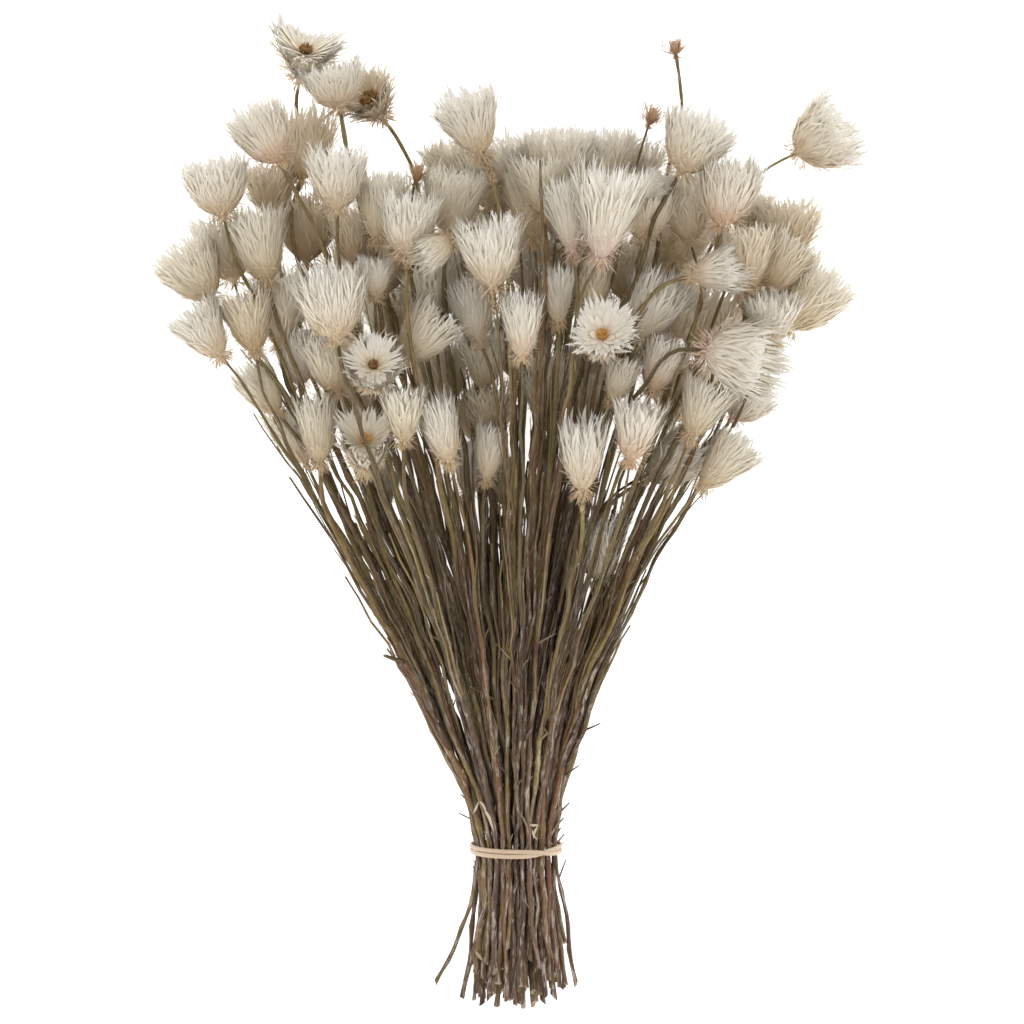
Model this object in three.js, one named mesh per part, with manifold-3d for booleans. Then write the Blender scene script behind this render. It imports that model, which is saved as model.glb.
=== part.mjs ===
// A tied bunch of dried strawflowers, lying on a flat surface.
// Millimetres, +Z up. The bunch lies along +Y: cut ends at low Y, blooms at high Y.
// Layout places are counted from the middle of the elastic band, and the whole
// bunch is then moved so that it stands on z = 0 with its box centred on x = y = 0.

import * as THREE from "three";
import { ConvexGeometry } from "three/addons/geometries/ConvexGeometry.js";
import { mergeVertices } from "three/addons/utils/BufferGeometryUtils.js";
import Module from "manifold-3d";

const wasm = await Module();
wasm.setup();

// ---------------------------------------------------------------- driving dimensions

const GAP = 0.32; // clear space between neighbouring solids
const SLACK = 0.25; // what stems keep beyond that while they are bent clear
const MERGE = 0.01; // corners nearer than this are one corner

const BAND_HEIGHT = 24.6; // height of the band's middle above the surface
const RISE = 0.212; // how fast the midline of the bunch climbs from the band
const LEVEL_FROM = 250; // distance from the band where the midline runs level
const MASS_HALF_DEPTH = 80; // half depth of the flower mass
const MASS_HALF_WIDTH = 170; // half width where its depth thins out
const TOP_ROUNDING = 0.8; // how much of the depth is gone at that width, on top
const UNDER_ROUNDING = 0.4; // and on the underside, pressed flatter by the surface
const DEPTH_GROWTH = 0.26; // growth of the half depth with distance from the band

const SLOT_PITCH = 3.2; // spacing of the stems where the band holds them
const SLOT_COLUMNS = 7; // most columns of slots on each side of the middle one
const SLOT_ROWS = 6; // most rows of slots above the middle, and below it
const FAN_POINT = 60; // how far behind the band the stems' directions meet
const BUNDLE_HALF_WIDTH = 20.4; // half axes of the held bundle
const BUNDLE_HALF_DEPTH = 19.8;
const STEM_BUTT_RADIUS = 1.35; // corner radius of a stem from its cut end to the band
const STEM_MID_RADIUS = 1.6;
const STEM_NECK_RADIUS = 1.2;
const STEM_FREE_POINTS = 3; // points that may move, between band and neck
const STEM_LIFT = 1; // what stems keep above the surface
const CLEAR_STEPS = 240; // steps in which the stems bend clear
const EASE_STEPS = 180; // and those in which they also straighten
const STEM_EASE = 0.12;
const STEM_PUSH = 0.5; // share of a clash that each of two stems makes good in one step
const BLOOM_PUSH = 0.6; // and that a stem makes good beside a bloom
const FARTHEST_STEP = 4;
const PAIRS_LAST = 12; // steps for which a list of near stretches holds
const PAIRS_REACH = 7;
const NECK_LENGTH = 13; // straight stretch under a bloom
const HELD_HANDLE = 0.4; // how stiffly a stem keeps its way at the band, as a share of it
const NECK_HANDLE = 0.13; // and under its bloom
const WAIST = [0.55, 0.25]; // how much a stem leans out above the band: left, right
const FAN_LEFT = [21, 0.33, 0.0007]; // how far out stems may lie at a height y: a + b y + c y²
const FAN_RIGHT = [20, 0.14, 0.0014];
const BUTT_SPREAD = [1.16, 1.1]; // how much the cut ends fan out behind the band: x, z
const BUTT_STRAY = [3, 2]; // and how far they stray from that
const BUTT_SHORTEST = 44;
const BUTT_LONGEST = 79;
const HUB_HALF_LENGTH = 1.2; // where the stems of a bundle are pressed together
const HUB_REACH = 1.36; // how far a hub goes out past its outer stems' middles
const BUNDLE_COLUMNS = [2, 2, 2, 1, 2, 2, 2]; // slot columns in each bundle, left to right

const STRAND_RADIUS = 1.15; // the elastic band's two strands
const STRAND_CLEAR = 0.75;
const STRAND_SWAY = 2.1; // how far the strands cross up and down the bundle
const STRAND_TURN = 0.4; // where round the bundle they cross, in radians
const STRAND_STEPS = 16;
const STRAND_SIDES = 4;

const RADIUS_SHARE = 0.23; // mean radius of a bloom, as a share of its width and height
const FAN_TURN = 0.8; // how far blooms turn up or down with the fan of the bunch
const OPEN_LIFT = 40; // lift in degrees at which a bloom is fully open
const INNER_DEPTH = 0.4; // blooms deeper in than this have kept their full size
const INNER_FULLNESS = 1.18;
const RAGGED = 0.2; // how unevenly the bract tips reach out
const CENTRE_SHARE = 0.42; // height of a bloom's inner centre, as a share of the bloom
const CORE_SHARE = 0.33; // share of a bloom's width that passing stems keep out of
const TOUCH = 0.9; // how near two blooms may settle, as a share of their radii
const SETTLE_STEPS = 200;
const SETTLE_PUSH = 0.2; // share of a clash that blooms make good in one step
const SETTLE_HOME = 0.04; // and of the way back to their own height
const SETTLE_INSET = 0.8; // share of a bloom's radius that stays inside the mass
const FEWEST_BRACTS = 5; // bracts in a tier of a spent head, and one more for each step up
const SMALL_WIDTH = 23; // blooms narrower than this have few bracts
const LARGE_WIDTH = 28; // and those wider than this have many
const TOP_RISE = [5, 20]; // how far above the midline blooms are near the top, and on it
const LIMIT_REACH = 1.2; // stems farther from a bloom than this many heights leave it alone
const BLOOM_NODES = 45; // nodes that all heads are grouped into, and most heads in one
const MOST_IN_NODE = 5;
const LINK_CLEAR = 0.75; // share of its radius in which a bloom bars others' links
const TOUCH_VOLUME = 1; // blooms that share less than this, in mm³, need a link
const LINK_RADIUS = 1.2; // half thickness of a bract that joins two blooms
const LINK_LONGEST = 14; // widest space between blooms that a bract bridges
const FLOOR = 0.4; // height at which the lowest bracts press flat on the surface

// A bloom's surface, from its foot to its face: rings of valleys between the bracts, and
// tiers of bract tips that stand out of the diamonds between the valleys. Each value is
// a share of the height and a share of the width; an open bloom spreads its upper tiers.
const VALLEYS = [
  [0.17, 0.17],
  [0.4, 0.28],
  [0.7, 0.29],
];
const TIPS = [
  [0.12, 0.33],
  [0.64, 0.54],
  [1.03, 0.4],
];
const OPEN_VALLEYS = [
  [0.17, 0.17],
  [0.42, 0.3],
  [0.66, 0.26],
];
const OPEN_TIPS = [
  [0.14, 0.34],
  [0.6, 0.58],
  [0.96, 0.54],
];
const FACE_LEVEL = [0.68, 0.58]; // height of the face's middle: closed, open

// Blooms seen from above. Each row: x and y of the foot, tilt of the head from +Y
// towards +X, width, height, depth from -1 (underside) to 1 (top), lift towards +Z.
const BLOOMS = [
  [-108, 387, 12, 30, 26, 0.1, 32],
  [-88, 371, -12, 26, 21, 0.15, 5],
  [-67, 367, -35, 24, 22, 0, 35],
  [-118, 344, -30, 28, 33, 0.6, 0],
  [-108, 336, 5, 25, 32, -0.3, 0],
  [-89, 320, 0, 30, 32, 0.75, 0],
  [-146, 317, -12, 33, 31, 0.6, 0],
  [-122, 318, -5, 22, 23, -0.3, 0],
  [-105, 295, 0, 28, 31, -0.35, 0],
  [-124, 284, -12, 24, 33, 0.3, 0],
  [-141, 285, -15, 24, 30, 0, 0],
  [-152, 276, -35, 28, 28, 0.3, 0],
  [-147, 247, -35, 26, 31, 0.5, 0],
  [-130, 249, -12, 25, 33, 0.4, 0],
  [-89, 255, -8, 34, 39, 0.9, 0],
  [-69, 305, 5, 24, 35, 0.5, 0],
  [-54, 297, 3, 29, 33, 0.85, 0],
  [-34, 309, 8, 27, 28, 0.35, 0],
  [-17, 348, -20, 33, 34, 0.7, 0],
  [-31, 331, -8, 23, 22, -0.2, 0],
  [-14, 322, -8, 22, 25, -0.1, 0],
  [1, 331, -5, 30, 23, 0.1, 0],
  [12, 332, 0, 29, 23, -0.5, 0],
  [22, 334, 0, 30, 24, 0.3, 0],
  [33, 332, 3, 29, 23, -0.3, 0],
  [43, 334, 0, 30, 24, 0.15, 0],
  [58, 329, 5, 26, 24, 0, 0],
  [14, 318, -4, 26, 30, 0.6, 0],
  [63, 305, 8, 25, 31, 0.35, 0],
  [28, 299, -8, 22, 39, 0.8, 0],
  [42, 296, 8, 35, 47, 0.9, 0],
  [9, 305, -5, 22, 33, 0.3, 0],
  [82, 339, 25, 36, 33, 0.65, 0],
  [102, 312, 12, 30, 36, 0.75, 0],
  [60, 328, 60, 14, 17, 0.45, 10],
  [87, 304, -8, 24, 33, 0.2, 0],
  [140, 349, 60, 31, 29, 0.1, 10],
  [134, 296, 5, 29, 26, 0, 0],
  [113, 308, 15, 18, 21, 0, 0],
  [114, 279, 0, 27, 30, 0.2, 0],
  [124, 280, 30, 24, 28, 0.2, 0],
  [88, 287, 78, 24, 30, 0.5, 15],
  [136, 262, 40, 27, 33, 0, 0],
  [127, 254, 3, 27, 28, 0.6, 10],
  [95, 250, 100, 39, 42, 0.75, 15],
  [108, 216, 40, 20, 20, 0, 0],
  [87, 207, 22, 24, 31, 0.5, 0],
  [67, 230, 22, 20, 26, 0.3, 0],
  [67, 186, 55, 24, 29, 0, 0],
  [93, 182, 42, 25, 35, 0.4, 0],
  [57, 195, 10, 25, 32, 0.8, 0],
  [33, 180, 0, 23, 39, 0.85, 0],
  [42, 135, -3, 24, 32, 0.1, 0],
  [43, 251, 0, 33, 30, 0.8, 55],
  [61, 256, 22, 26, 32, 0.15, 0],
  [48, 224, 18, 16, 24, 0.4, 0],
  [38, 208, 0, 21, 29, -0.2, 0],
  [78, 255, 10, 20, 27, 0, 0],
  [3, 246, 0, 20, 35, 0.85, 0],
  [-11, 281, -5, 32, 36, 0.95, 0],
  [-31, 305, -120, 18, 23, 0.8, 10],
  [-18, 255, -15, 19, 29, 0.15, 0],
  [5, 281, 0, 20, 26, -0.4, 0],
  [-16, 231, 0, 19, 25, -0.2, 0],
  [-40, 263, -10, 22, 28, 0.1, 0],
  [-56, 246, 40, 24, 29, 0.35, 0],
  [-71, 234, 0, 28, 26, 0.75, 45],
  [-90, 229, -10, 22, 28, 0.2, 0],
  [-98, 194, -3, 21, 36, 0.5, 0],
  [-75, 192, 0, 26, 36, 0.8, 40],
  [-56, 204, 0, 21, 29, 0.75, 0],
  [-33, 194, -15, 19, 36, 0.75, 0],
  [-15, 185, 8, 14, 25, 0.3, 0],
  [-14, 207, 0, 16, 20, -0.1, 0],
  [14, 213, 0, 20, 33, -0.1, 0],
  [21, 263, 0, 15, 27, 0.3, 0],
  [37, 269, 0, 18, 25, 0.2, 0],
  [-65, 279, 0, 24, 27, -0.1, 0],
  [-45, 280, 0, 23, 26, -0.2, 0],
  [-82, 294, 0, 20, 25, 0, 0],
  [-70, 276, 0, 17, 22, 0.5, 0],
  [-118, 253, 0, 22, 30, 0.2, 0],
  [-108, 233, -5, 19, 24, 0.1, 0],
  [-119, 219, -35, 18, 25, 0.2, 0],
  [-105, 194, -25, 17, 28, 0.1, 0],
  [-62, 246, 0, 18, 26, -0.2, 0],
  [-69, 168, 0, 19, 24, -0.6, 0],
  [-24, 178, 0, 13, 25, 0.1, 0],
  [-6, 173, 0, 15, 23, -0.2, 0],
  [54, 276, 0, 22, 28, -0.3, 0],
];

// Spent heads, small and ragged, in the same columns.
const SPENT = [
  [80, 397, -10, 12, 10, 0.2, 0],
  [66, 362, 20, 12, 12, 0.3, 0],
  [-50, 333, 10, 11, 12, 0.4, 0],
];

// Bare stems whose heads have dropped: x, y and depth of the broken tip.
const BARE = [[12, 344, 0.95]];

// The hidden side of the flower mass, filled by rule: blooms on a sunflower spiral.
const UNDER_COUNT = 22;
const UNDER_MIDDLE = [-2, 258];
const UNDER_HALF = [122, 66];
const UNDER_TURN = 2.399963; // golden angle
const UNDER_DEPTH = [-1.1, -0.7];
const UNDER_WIDTH = [25, 33];
const UNDER_TALLER = 3; // how much taller than wide they are
const UNDER_TILT = 1.1; // how far they lean out with the fan

// Stems whose cut ends kick out of the bundle: slot column and row, knee, cut end.
const KICKED = [
  [-6, 1, -22, -27, -37, -67],
  [6, 1, 23, -24, 30, -68],
];
const KICK_RISE = 2;

const SEED = 7.3;
const WAVE = [127.1, 311.7, 43758.5453]; // spread a count and a salt over many turns
const UNDER_INDEX = 200; // first counts of the heads set by rule, spent and bare
const SPENT_INDEX = 300;
const BARE_INDEX = 400;

// ---------------------------------------------------------------- small helpers

const clamp = (v, low, high) => Math.min(Math.max(v, low), high);
const mix = (a, b, t) => a + (b - a) * t;
const radians = (degrees) => (degrees * Math.PI) / 180;

// A fixed draw from 0 to 1 for a counted thing.
function draw(index, salt) {
  const wave = Math.sin(index * WAVE[0] + salt * WAVE[1] + SEED) * WAVE[2];
  return wave - Math.floor(wave);
}

const midline = (y) => BAND_HEIGHT + RISE * clamp(y, 0, LEVEL_FROM);

function halfDepth(x, y, rounding = TOP_ROUNDING) {
  const full = Math.min(BUNDLE_HALF_DEPTH + DEPTH_GROWTH * Math.max(y, 0), MASS_HALF_DEPTH);
  return full * Math.sqrt(1 - rounding * Math.min(1, (x / MASS_HALF_WIDTH) ** 2));
}

function solidFrom(points, faces) {
  const vertProperties = new Float32Array(points.flatMap((p) => [p.x, p.y, p.z]));
  const triVerts = new Uint32Array(faces.flat());
  return new wasm.Manifold(new wasm.Mesh({ numProp: 3, vertProperties, triVerts, tolerance: MERGE }));
}

function solidOf(geometry) {
  geometry.deleteAttribute("normal");
  geometry.deleteAttribute("uv");
  const merged = mergeVertices(geometry, 1e-4);
  const vertProperties = merged.attributes.position.array;
  const triVerts = new Uint32Array(merged.index.array);
  return new wasm.Manifold(new wasm.Mesh({ numProp: 3, vertProperties, triVerts, tolerance: MERGE }));
}

// ---------------------------------------------------------------- layout of the blooms

function headFrom([x, y, tilt, wide, high, depth, lift], index, kind) {
  const fuller = kind === "bloom" && depth < INNER_DEPTH ? INNER_FULLNESS : 1;
  const width = wide * fuller;
  const height = high * fuller;
  const radius = RADIUS_SHARE * (width + height);
  const reach = Math.max(halfDepth(x, y) - radius, 0);
  const home = midline(y) + depth * reach;
  const fan = Math.atan2(depth * reach, y) * FAN_TURN;
  const up = fan + radians(lift);
  const turn = radians(tilt);
  const axis = new THREE.Vector3(
    Math.sin(turn) * Math.cos(up),
    Math.cos(turn) * Math.cos(up),
    Math.sin(up),
  );
  const open = clamp(lift / OPEN_LIFT, 0, 1);
  const middle = midline(y);
  return { x, y, width, height, radius, home, middle, z: home, axis, open, index, kind };
}

function underRow(k) {
  const out = Math.sqrt((k + 0.5) / UNDER_COUNT);
  const turn = k * UNDER_TURN;
  const x = UNDER_MIDDLE[0] + UNDER_HALF[0] * out * Math.cos(turn);
  const y = UNDER_MIDDLE[1] + UNDER_HALF[1] * out * Math.sin(turn);
  const tilt = (Math.atan2(x, y) * 180) / Math.PI;
  const width = mix(UNDER_WIDTH[0], UNDER_WIDTH[1], draw(k, 1));
  const depth = mix(UNDER_DEPTH[0], UNDER_DEPTH[1], draw(k, 2));
  return [x, y, tilt * UNDER_TILT, width, width + UNDER_TALLER, depth, 0];
}

// What must not come near another head: its own middle, its foot and its neck.
function knotsOf(head) {
  return [0, head.height / 2, head.height / 2 + NECK_LENGTH].map((down, k) => ({
    x: head.x + head.axis.x * (head.height / 2 - down),
    y: head.y + head.axis.y * (head.height / 2 - down),
    drop: -head.axis.z * down,
    keep: k === 0 ? TOUCH * head.radius : STEM_NECK_RADIUS + GAP,
  }));
}

// Heads that would share the same room move apart in height, near their own place.
function settleHeads(heads) {
  const knots = heads.map(knotsOf);
  for (let step = 0; step < SETTLE_STEPS; step++) {
    const push = heads.map(() => 0);
    heads.forEach((a, i) =>
      heads.forEach((b, j) => {
        if (i === j) return;
        knots[i].forEach((knot, k) => {
          if (k === 0 && j < i) return;
          const keep = k === 0 ? TOUCH * b.radius : CORE_SHARE * b.width;
          const need = knot.keep + keep;
          const flat = Math.hypot(knot.x - knots[j][0].x, knot.y - knots[j][0].y);
          if (flat >= need) return;
          const over = a.z + knot.drop - b.z;
          const short = Math.sqrt(need * need - flat * flat) - Math.abs(over);
          if (short <= 0) return;
          const move = (over >= 0 ? 1 : -1) * short * SETTLE_PUSH;
          push[i] += move;
          push[j] -= move;
        });
      }),
    );
    heads.forEach((head, i) => {
      const inset = SETTLE_INSET * head.radius;
      const top = head.middle + halfDepth(head.x, head.y) - inset;
      const under = head.middle - halfDepth(head.x, head.y, UNDER_ROUNDING) + inset;
      const next = head.z + push[i] + (head.home - head.z) * SETTLE_HOME;
      head.z = clamp(next, Math.max(under, FLOOR + inset), top);
    });
  }
}

function placeHead(head) {
  const up = head.axis.clone().multiplyScalar(head.height);
  const middle = new THREE.Vector3(head.x + up.x / 2, head.y + up.y / 2, head.z);
  head.foot = middle.clone().addScaledVector(up, -0.5);
  head.centre = head.foot.clone().addScaledVector(up, CENTRE_SHARE);
}

// ---------------------------------------------------------------- layout of the stems

// How far out the far corner of a slot lies, where 1 is the bundle's outer ellipse.
function outward(x, z) {
  const wide = (Math.abs(x) + HUB_REACH) / BUNDLE_HALF_WIDTH;
  return Math.hypot(wide, (Math.abs(z) + HUB_REACH) / BUNDLE_HALF_DEPTH);
}

function slotsFor(count) {
  const slots = [];
  for (let column = -SLOT_COLUMNS; column <= SLOT_COLUMNS; column++)
    for (let row = -SLOT_ROWS; row < SLOT_ROWS; row++) {
      const x = column * SLOT_PITCH;
      const z = (row + 0.5) * SLOT_PITCH;
      slots.push({ column, row, x, z, out: outward(x, z) });
    }
  slots.sort((a, b) => a.out - b.out || a.x - b.x || a.z - b.z);
  const taken = slots.slice(0, count).sort((a, b) => a.x - b.x || a.z - b.z);
  for (const [column, row, ...kick] of KICKED)
    taken.find((slot) => slot.column === column && slot.row === row).kick = kick;
  return taken;
}

// Stems take slots in the order in which they fan out, so they don't cross.
function assignSlots(ends) {
  const slots = slotsFor(ends.length);
  const fanX = (end) => end.foot.x / (end.foot.y + FAN_POINT);
  const fanZ = (end) => (end.foot.z - midline(end.foot.y)) / (end.foot.y + FAN_POINT);
  const order = [...ends].sort((a, b) => fanX(a) - fanX(b));
  let from = 0;
  while (from < slots.length) {
    const column = slots.filter((slot) => slot.column === slots[from].column);
    const part = order.slice(from, from + column.length).sort((a, b) => fanZ(a) - fanZ(b));
    part.forEach((end, k) => (end.slot = column[k]));
    from += column.length;
  }
}

// The stretch of a stem behind the band, from its cut end to where it is held.
function buttRoute(slot, index) {
  const held = new THREE.Vector3(slot.x, 0, BAND_HEIGHT + slot.z);
  if (slot.kick) {
    const [kneeX, kneeY, endX, endY] = slot.kick;
    const knee = new THREE.Vector3(kneeX, kneeY, held.z);
    return [new THREE.Vector3(endX, endY, held.z + KICK_RISE), knee, held];
  }
  const cut = mix(BUTT_SHORTEST, BUTT_LONGEST, Math.sqrt(draw(index, 5)));
  const x = slot.x * BUTT_SPREAD[0] + BUTT_STRAY[0] * (draw(index, 6) - 0.5);
  const z = slot.z * BUTT_SPREAD[1] + BUTT_STRAY[1] * (draw(index, 7) - 0.5);
  return [new THREE.Vector3(x, -cut, BAND_HEIGHT + z), held];
}

function stemRoute(end) {
  const { slot, foot, axis, index } = end;
  const behind = buttRoute(slot, index);
  const held = behind.at(-1);
  const neck = foot.clone().addScaledVector(axis, -NECK_LENGTH);
  const span = neck.clone().sub(held);
  const lean = WAIST[span.x < 0 ? 0 : 1];
  const away = new THREE.Vector3(span.x * lean, span.y, span.z * lean);
  away.multiplyScalar(HELD_HANDLE);
  const arrive = axis.clone().multiplyScalar(-NECK_HANDLE * span.length());
  const curve = new THREE.CubicBezierCurve3(
    held,
    held.clone().add(away),
    neck.clone().add(arrive),
    neck,
  );
  const free = [];
  for (let k = 1; k <= STEM_FREE_POINTS; k++)
    free.push(curve.getPoint(k / (STEM_FREE_POINTS + 1)));
  const points = [...behind, ...free, neck, foot];
  const hold = behind.length - 1;
  const radii = points.map((_, k) => {
    if (k <= hold) return STEM_BUTT_RADIUS;
    const share = (k - hold - 1) / (points.length - hold - 2);
    return mix(STEM_MID_RADIUS, STEM_NECK_RADIUS, share);
  });
  const planned = points.map((point) => point.clone());
  return { points, planned, radii, hold, slot, head: end.centre ? end : null };
}

// Nearest points of two straight stretches: shares along each, and the vector between.
function nearest(p, q, r, s) {
  const u = q.clone().sub(p);
  const v = s.clone().sub(r);
  const w = p.clone().sub(r);
  const a = u.dot(u);
  const b = u.dot(v);
  const c = v.dot(v);
  const d = u.dot(w);
  const e = v.dot(w);
  const bottom = a * c - b * b;
  let along = bottom > 1e-9 ? clamp((b * e - c * d) / bottom, 0, 1) : 0;
  let other = clamp((b * along + e) / c, 0, 1);
  along = clamp((b * other - d) / a, 0, 1);
  other = clamp((b * along + e) / c, 0, 1);
  const between = w.addScaledVector(u, along).addScaledVector(v, -other);
  return { along, other, between };
}

function nearPairs(stems, margin) {
  const boxes = [];
  stems.forEach((stem, i) => {
    for (let k = 0; k < stem.points.length - 1; k++) {
      const box = new THREE.Box3().setFromPoints([stem.points[k], stem.points[k + 1]]);
      boxes.push({ i, k, box: box.expandByScalar(margin / 2) });
    }
  });
  const pairs = [];
  boxes.forEach((a, m) => {
    for (let n = m + 1; n < boxes.length; n++)
      if (boxes[n].i !== a.i && a.box.intersectsBox(boxes[n].box)) pairs.push([a, boxes[n]]);
  });
  return pairs;
}

const fanReach = ([a, b, c], y) => a + b * Math.abs(y) + c * y * y;

// Stems bend clear of each other and of the blooms they pass.
function clearStems(stems, heads) {
  let pairs = [];
  for (let step = 0; step < CLEAR_STEPS; step++) {
    if (step % PAIRS_LAST === 0) pairs = nearPairs(stems, PAIRS_REACH);
    const push = stems.map((stem) => stem.points.map(() => new THREE.Vector3()));
    for (const [a, b] of pairs) {
      const p = stems[a.i].points;
      const r = stems[b.i].points;
      const hit = nearest(p[a.k], p[a.k + 1], r[b.k], r[b.k + 1]);
      const distance = hit.between.length();
      const need = stems[a.i].radii[a.k] + stems[b.i].radii[b.k] + GAP + SLACK;
      if (distance >= need || distance < 1e-6) continue;
      hit.between.multiplyScalar(((need - distance) / distance) * STEM_PUSH);
      push[a.i][a.k].addScaledVector(hit.between, 1 - hit.along);
      push[a.i][a.k + 1].addScaledVector(hit.between, hit.along);
      push[b.i][b.k].addScaledVector(hit.between, hit.other - 1);
      push[b.i][b.k + 1].addScaledVector(hit.between, -hit.other);
    }
    stems.forEach((stem, i) => {
      for (let k = 1; k < stem.points.length - 1; k++) {
        const start = stem.points[k];
        const along = stem.points[k + 1].clone().sub(start);
        const length2 = along.lengthSq();
        for (const head of heads) {
          if (head === stem.head) continue;
          const offset = head.centre.clone().sub(start);
          const share = clamp(offset.dot(along) / length2, 0, 1);
          offset.addScaledVector(along, -share).negate();
          const distance = offset.length();
          const need = CORE_SHARE * head.width + stem.radii[k] + GAP;
          if (distance >= need || distance < 1e-6) continue;
          offset.multiplyScalar(((need - distance) / distance) * BLOOM_PUSH);
          push[i][k].addScaledVector(offset, 1 - share);
          push[i][k + 1].addScaledVector(offset, share);
        }
      }
    });
    const ease = step < EASE_STEPS ? STEM_EASE : 0;
    stems.forEach((stem, i) => {
      for (let k = stem.hold + 1; k < stem.points.length - 1; k++) {
        const moved = (n) => stem.points[n].clone().sub(stem.planned[n]);
        const smooth = moved(k - 1).add(moved(k + 1)).multiplyScalar(0.5);
        push[i][k].addScaledVector(smooth.sub(moved(k)), ease);
        push[i][k].clampLength(0, FARTHEST_STEP);
      }
    });
    stems.forEach((stem, i) => {
      stem.points.forEach((point, k) => {
        if (k === stem.hold || k === stem.points.length - 1) return;
        point.add(push[i][k]);
        point.z = Math.max(point.z, stem.radii[k] + STEM_LIFT);
        point.x = clamp(point.x, -fanReach(FAN_LEFT, point.y), fanReach(FAN_RIGHT, point.y));
      });
    });
  }
}

// ---------------------------------------------------------------- bodies of the blooms

// How many bracts stand in each tier: most on the large blooms that show on top.
function bractCount(head) {
  const rise = head.home - head.middle;
  if (head.kind === "spent") return FEWEST_BRACTS;
  if (rise < TOP_RISE[0] || head.width < SMALL_WIDTH) return FEWEST_BRACTS + 1;
  return FEWEST_BRACTS + (head.width > LARGE_WIDTH && rise > TOP_RISE[1] ? 3 : 2);
}

// A head is star-shaped about its inner centre: each corner is a direction and a reach,
// and drawing a corner in along its own direction never folds the surface.
function cornersOf(head) {
  const side = new THREE.Vector3(0, 0, 1).cross(head.axis).normalize();
  const front = head.axis.clone().cross(side);
  const bracts = bractCount(head);
  const corner = (up, out, turn) =>
    head.foot
      .clone()
      .addScaledVector(head.axis, up * head.height)
      .addScaledVector(side, out * head.width * Math.cos(turn))
      .addScaledVector(front, out * head.width * Math.sin(turn))
      .sub(head.centre);
  const first = draw(head.index, 11) * Math.PI;
  const ring = (closed, open, half, ragged) =>
    Array.from({ length: bracts }, (_, k) => {
      const even = 1 + ragged * (draw(head.index * 50 + k, 12 + closed[0]) - 0.5);
      const up = mix(closed[0], open[0], head.open) * (closed[0] > 0.9 ? even : 1);
      const out = mix(closed[1], open[1], head.open) * even;
      return corner(up, out, first + ((k + half) * 2 * Math.PI) / bracts);
    });
  const corners = [corner(0, 0, 0)];
  VALLEYS.forEach((valley, k) => corners.push(...ring(valley, OPEN_VALLEYS[k], k / 2, 0)));
  TIPS.forEach((tip, k) => corners.push(...ring(tip, OPEN_TIPS[k], (k + 1) / 2, RAGGED)));
  corners.push(corner(mix(...FACE_LEVEL, head.open), 0, 0));
  return { corners, bracts };
}

// Four faces round each tip: to the valley below it, those beside it and that above it.
function headFaces(bracts) {
  const foot = 0;
  const face = 1 + 6 * bracts;
  const valley = (ring, k) => 1 + ring * bracts + ((k + bracts) % bracts);
  const tip = (tier, k) => valley(tier + 3, k);
  const around = [
    (k) => [foot, valley(0, k + 1), valley(1, k), valley(0, k)],
    (k) => [valley(0, k + 1), valley(1, k + 1), valley(2, k), valley(1, k)],
    (k) => [valley(1, k + 1), valley(2, k + 1), face, valley(2, k)],
  ];
  const faces = [];
  around.forEach((corners, tier) => {
    for (let k = 0; k < bracts; k++)
      corners(k).forEach((from, n, all) => faces.push([tip(tier, k), from, all[(n + 1) % 4]]));
  });
  return faces;
}

// Flat limits round a head, each a direction and the reach allowed that way.
function limitsOf(head, heads, stems) {
  const limits = [{ way: new THREE.Vector3(0, 0, -1), reach: head.centre.z - FLOOR }];
  for (const other of heads) {
    if (other.node === head.node) continue;
    const way = other.centre.clone().sub(head.centre);
    const distance = way.length();
    if (distance > head.height + other.height) continue;
    const share = head.radius / (head.radius + other.radius);
    limits.push({ way: way.divideScalar(distance), reach: distance * share - GAP / 2 });
  }
  for (const stem of stems) {
    const own = stem.head === head;
    for (let k = 0; k < stem.points.length - 1; k++) {
      const stretch = new THREE.Line3(stem.points[k], stem.points[k + 1]);
      const way = stretch.closestPointToPoint(head.centre, true, new THREE.Vector3());
      const distance = way.sub(head.centre).length();
      if (distance > LIMIT_REACH * head.height) continue;
      const thick = own && k === stem.points.length - 2 ? 0 : stem.radii[k];
      limits.push({ way: way.divideScalar(distance), reach: distance - thick - GAP });
    }
  }
  return limits;
}

function headSolid(head, limits) {
  const { corners, bracts } = cornersOf(head);
  const points = corners.map((corner) => {
    const full = corner.length();
    const way = corner.clone().divideScalar(full);
    const allowed = limits.map(({ way: to, reach }) => {
      const along = way.dot(to);
      return along > 1e-6 ? reach / along : Infinity;
    });
    return way.multiplyScalar(Math.min(full, ...allowed)).add(head.centre);
  });
  return solidFrom(points, headFaces(bracts));
}

// A long bract from one bloom into its neighbour, deep in both.
function linkSolid(a, b) {
  const way = b.centre.clone().sub(a.centre);
  const side = new THREE.Vector3(0, 0, 1).cross(way).normalize();
  const front = way.clone().cross(side).normalize();
  const middle = a.centre.clone().addScaledVector(way, 0.5);
  const ring = [0, 1, 2].map((k) =>
    middle
      .clone()
      .addScaledVector(side, LINK_RADIUS * Math.cos((k * 2 * Math.PI) / 3))
      .addScaledVector(front, LINK_RADIUS * Math.sin((k * 2 * Math.PI) / 3)),
  );
  const faces = [0, 1, 2].flatMap((k) => [
    [0, 2 + ((k + 1) % 3), 2 + k],
    [1, 2 + k, 2 + ((k + 1) % 3)],
  ]);
  return solidFrom([a.centre, b.centre, ...ring], faces);
}

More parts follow.
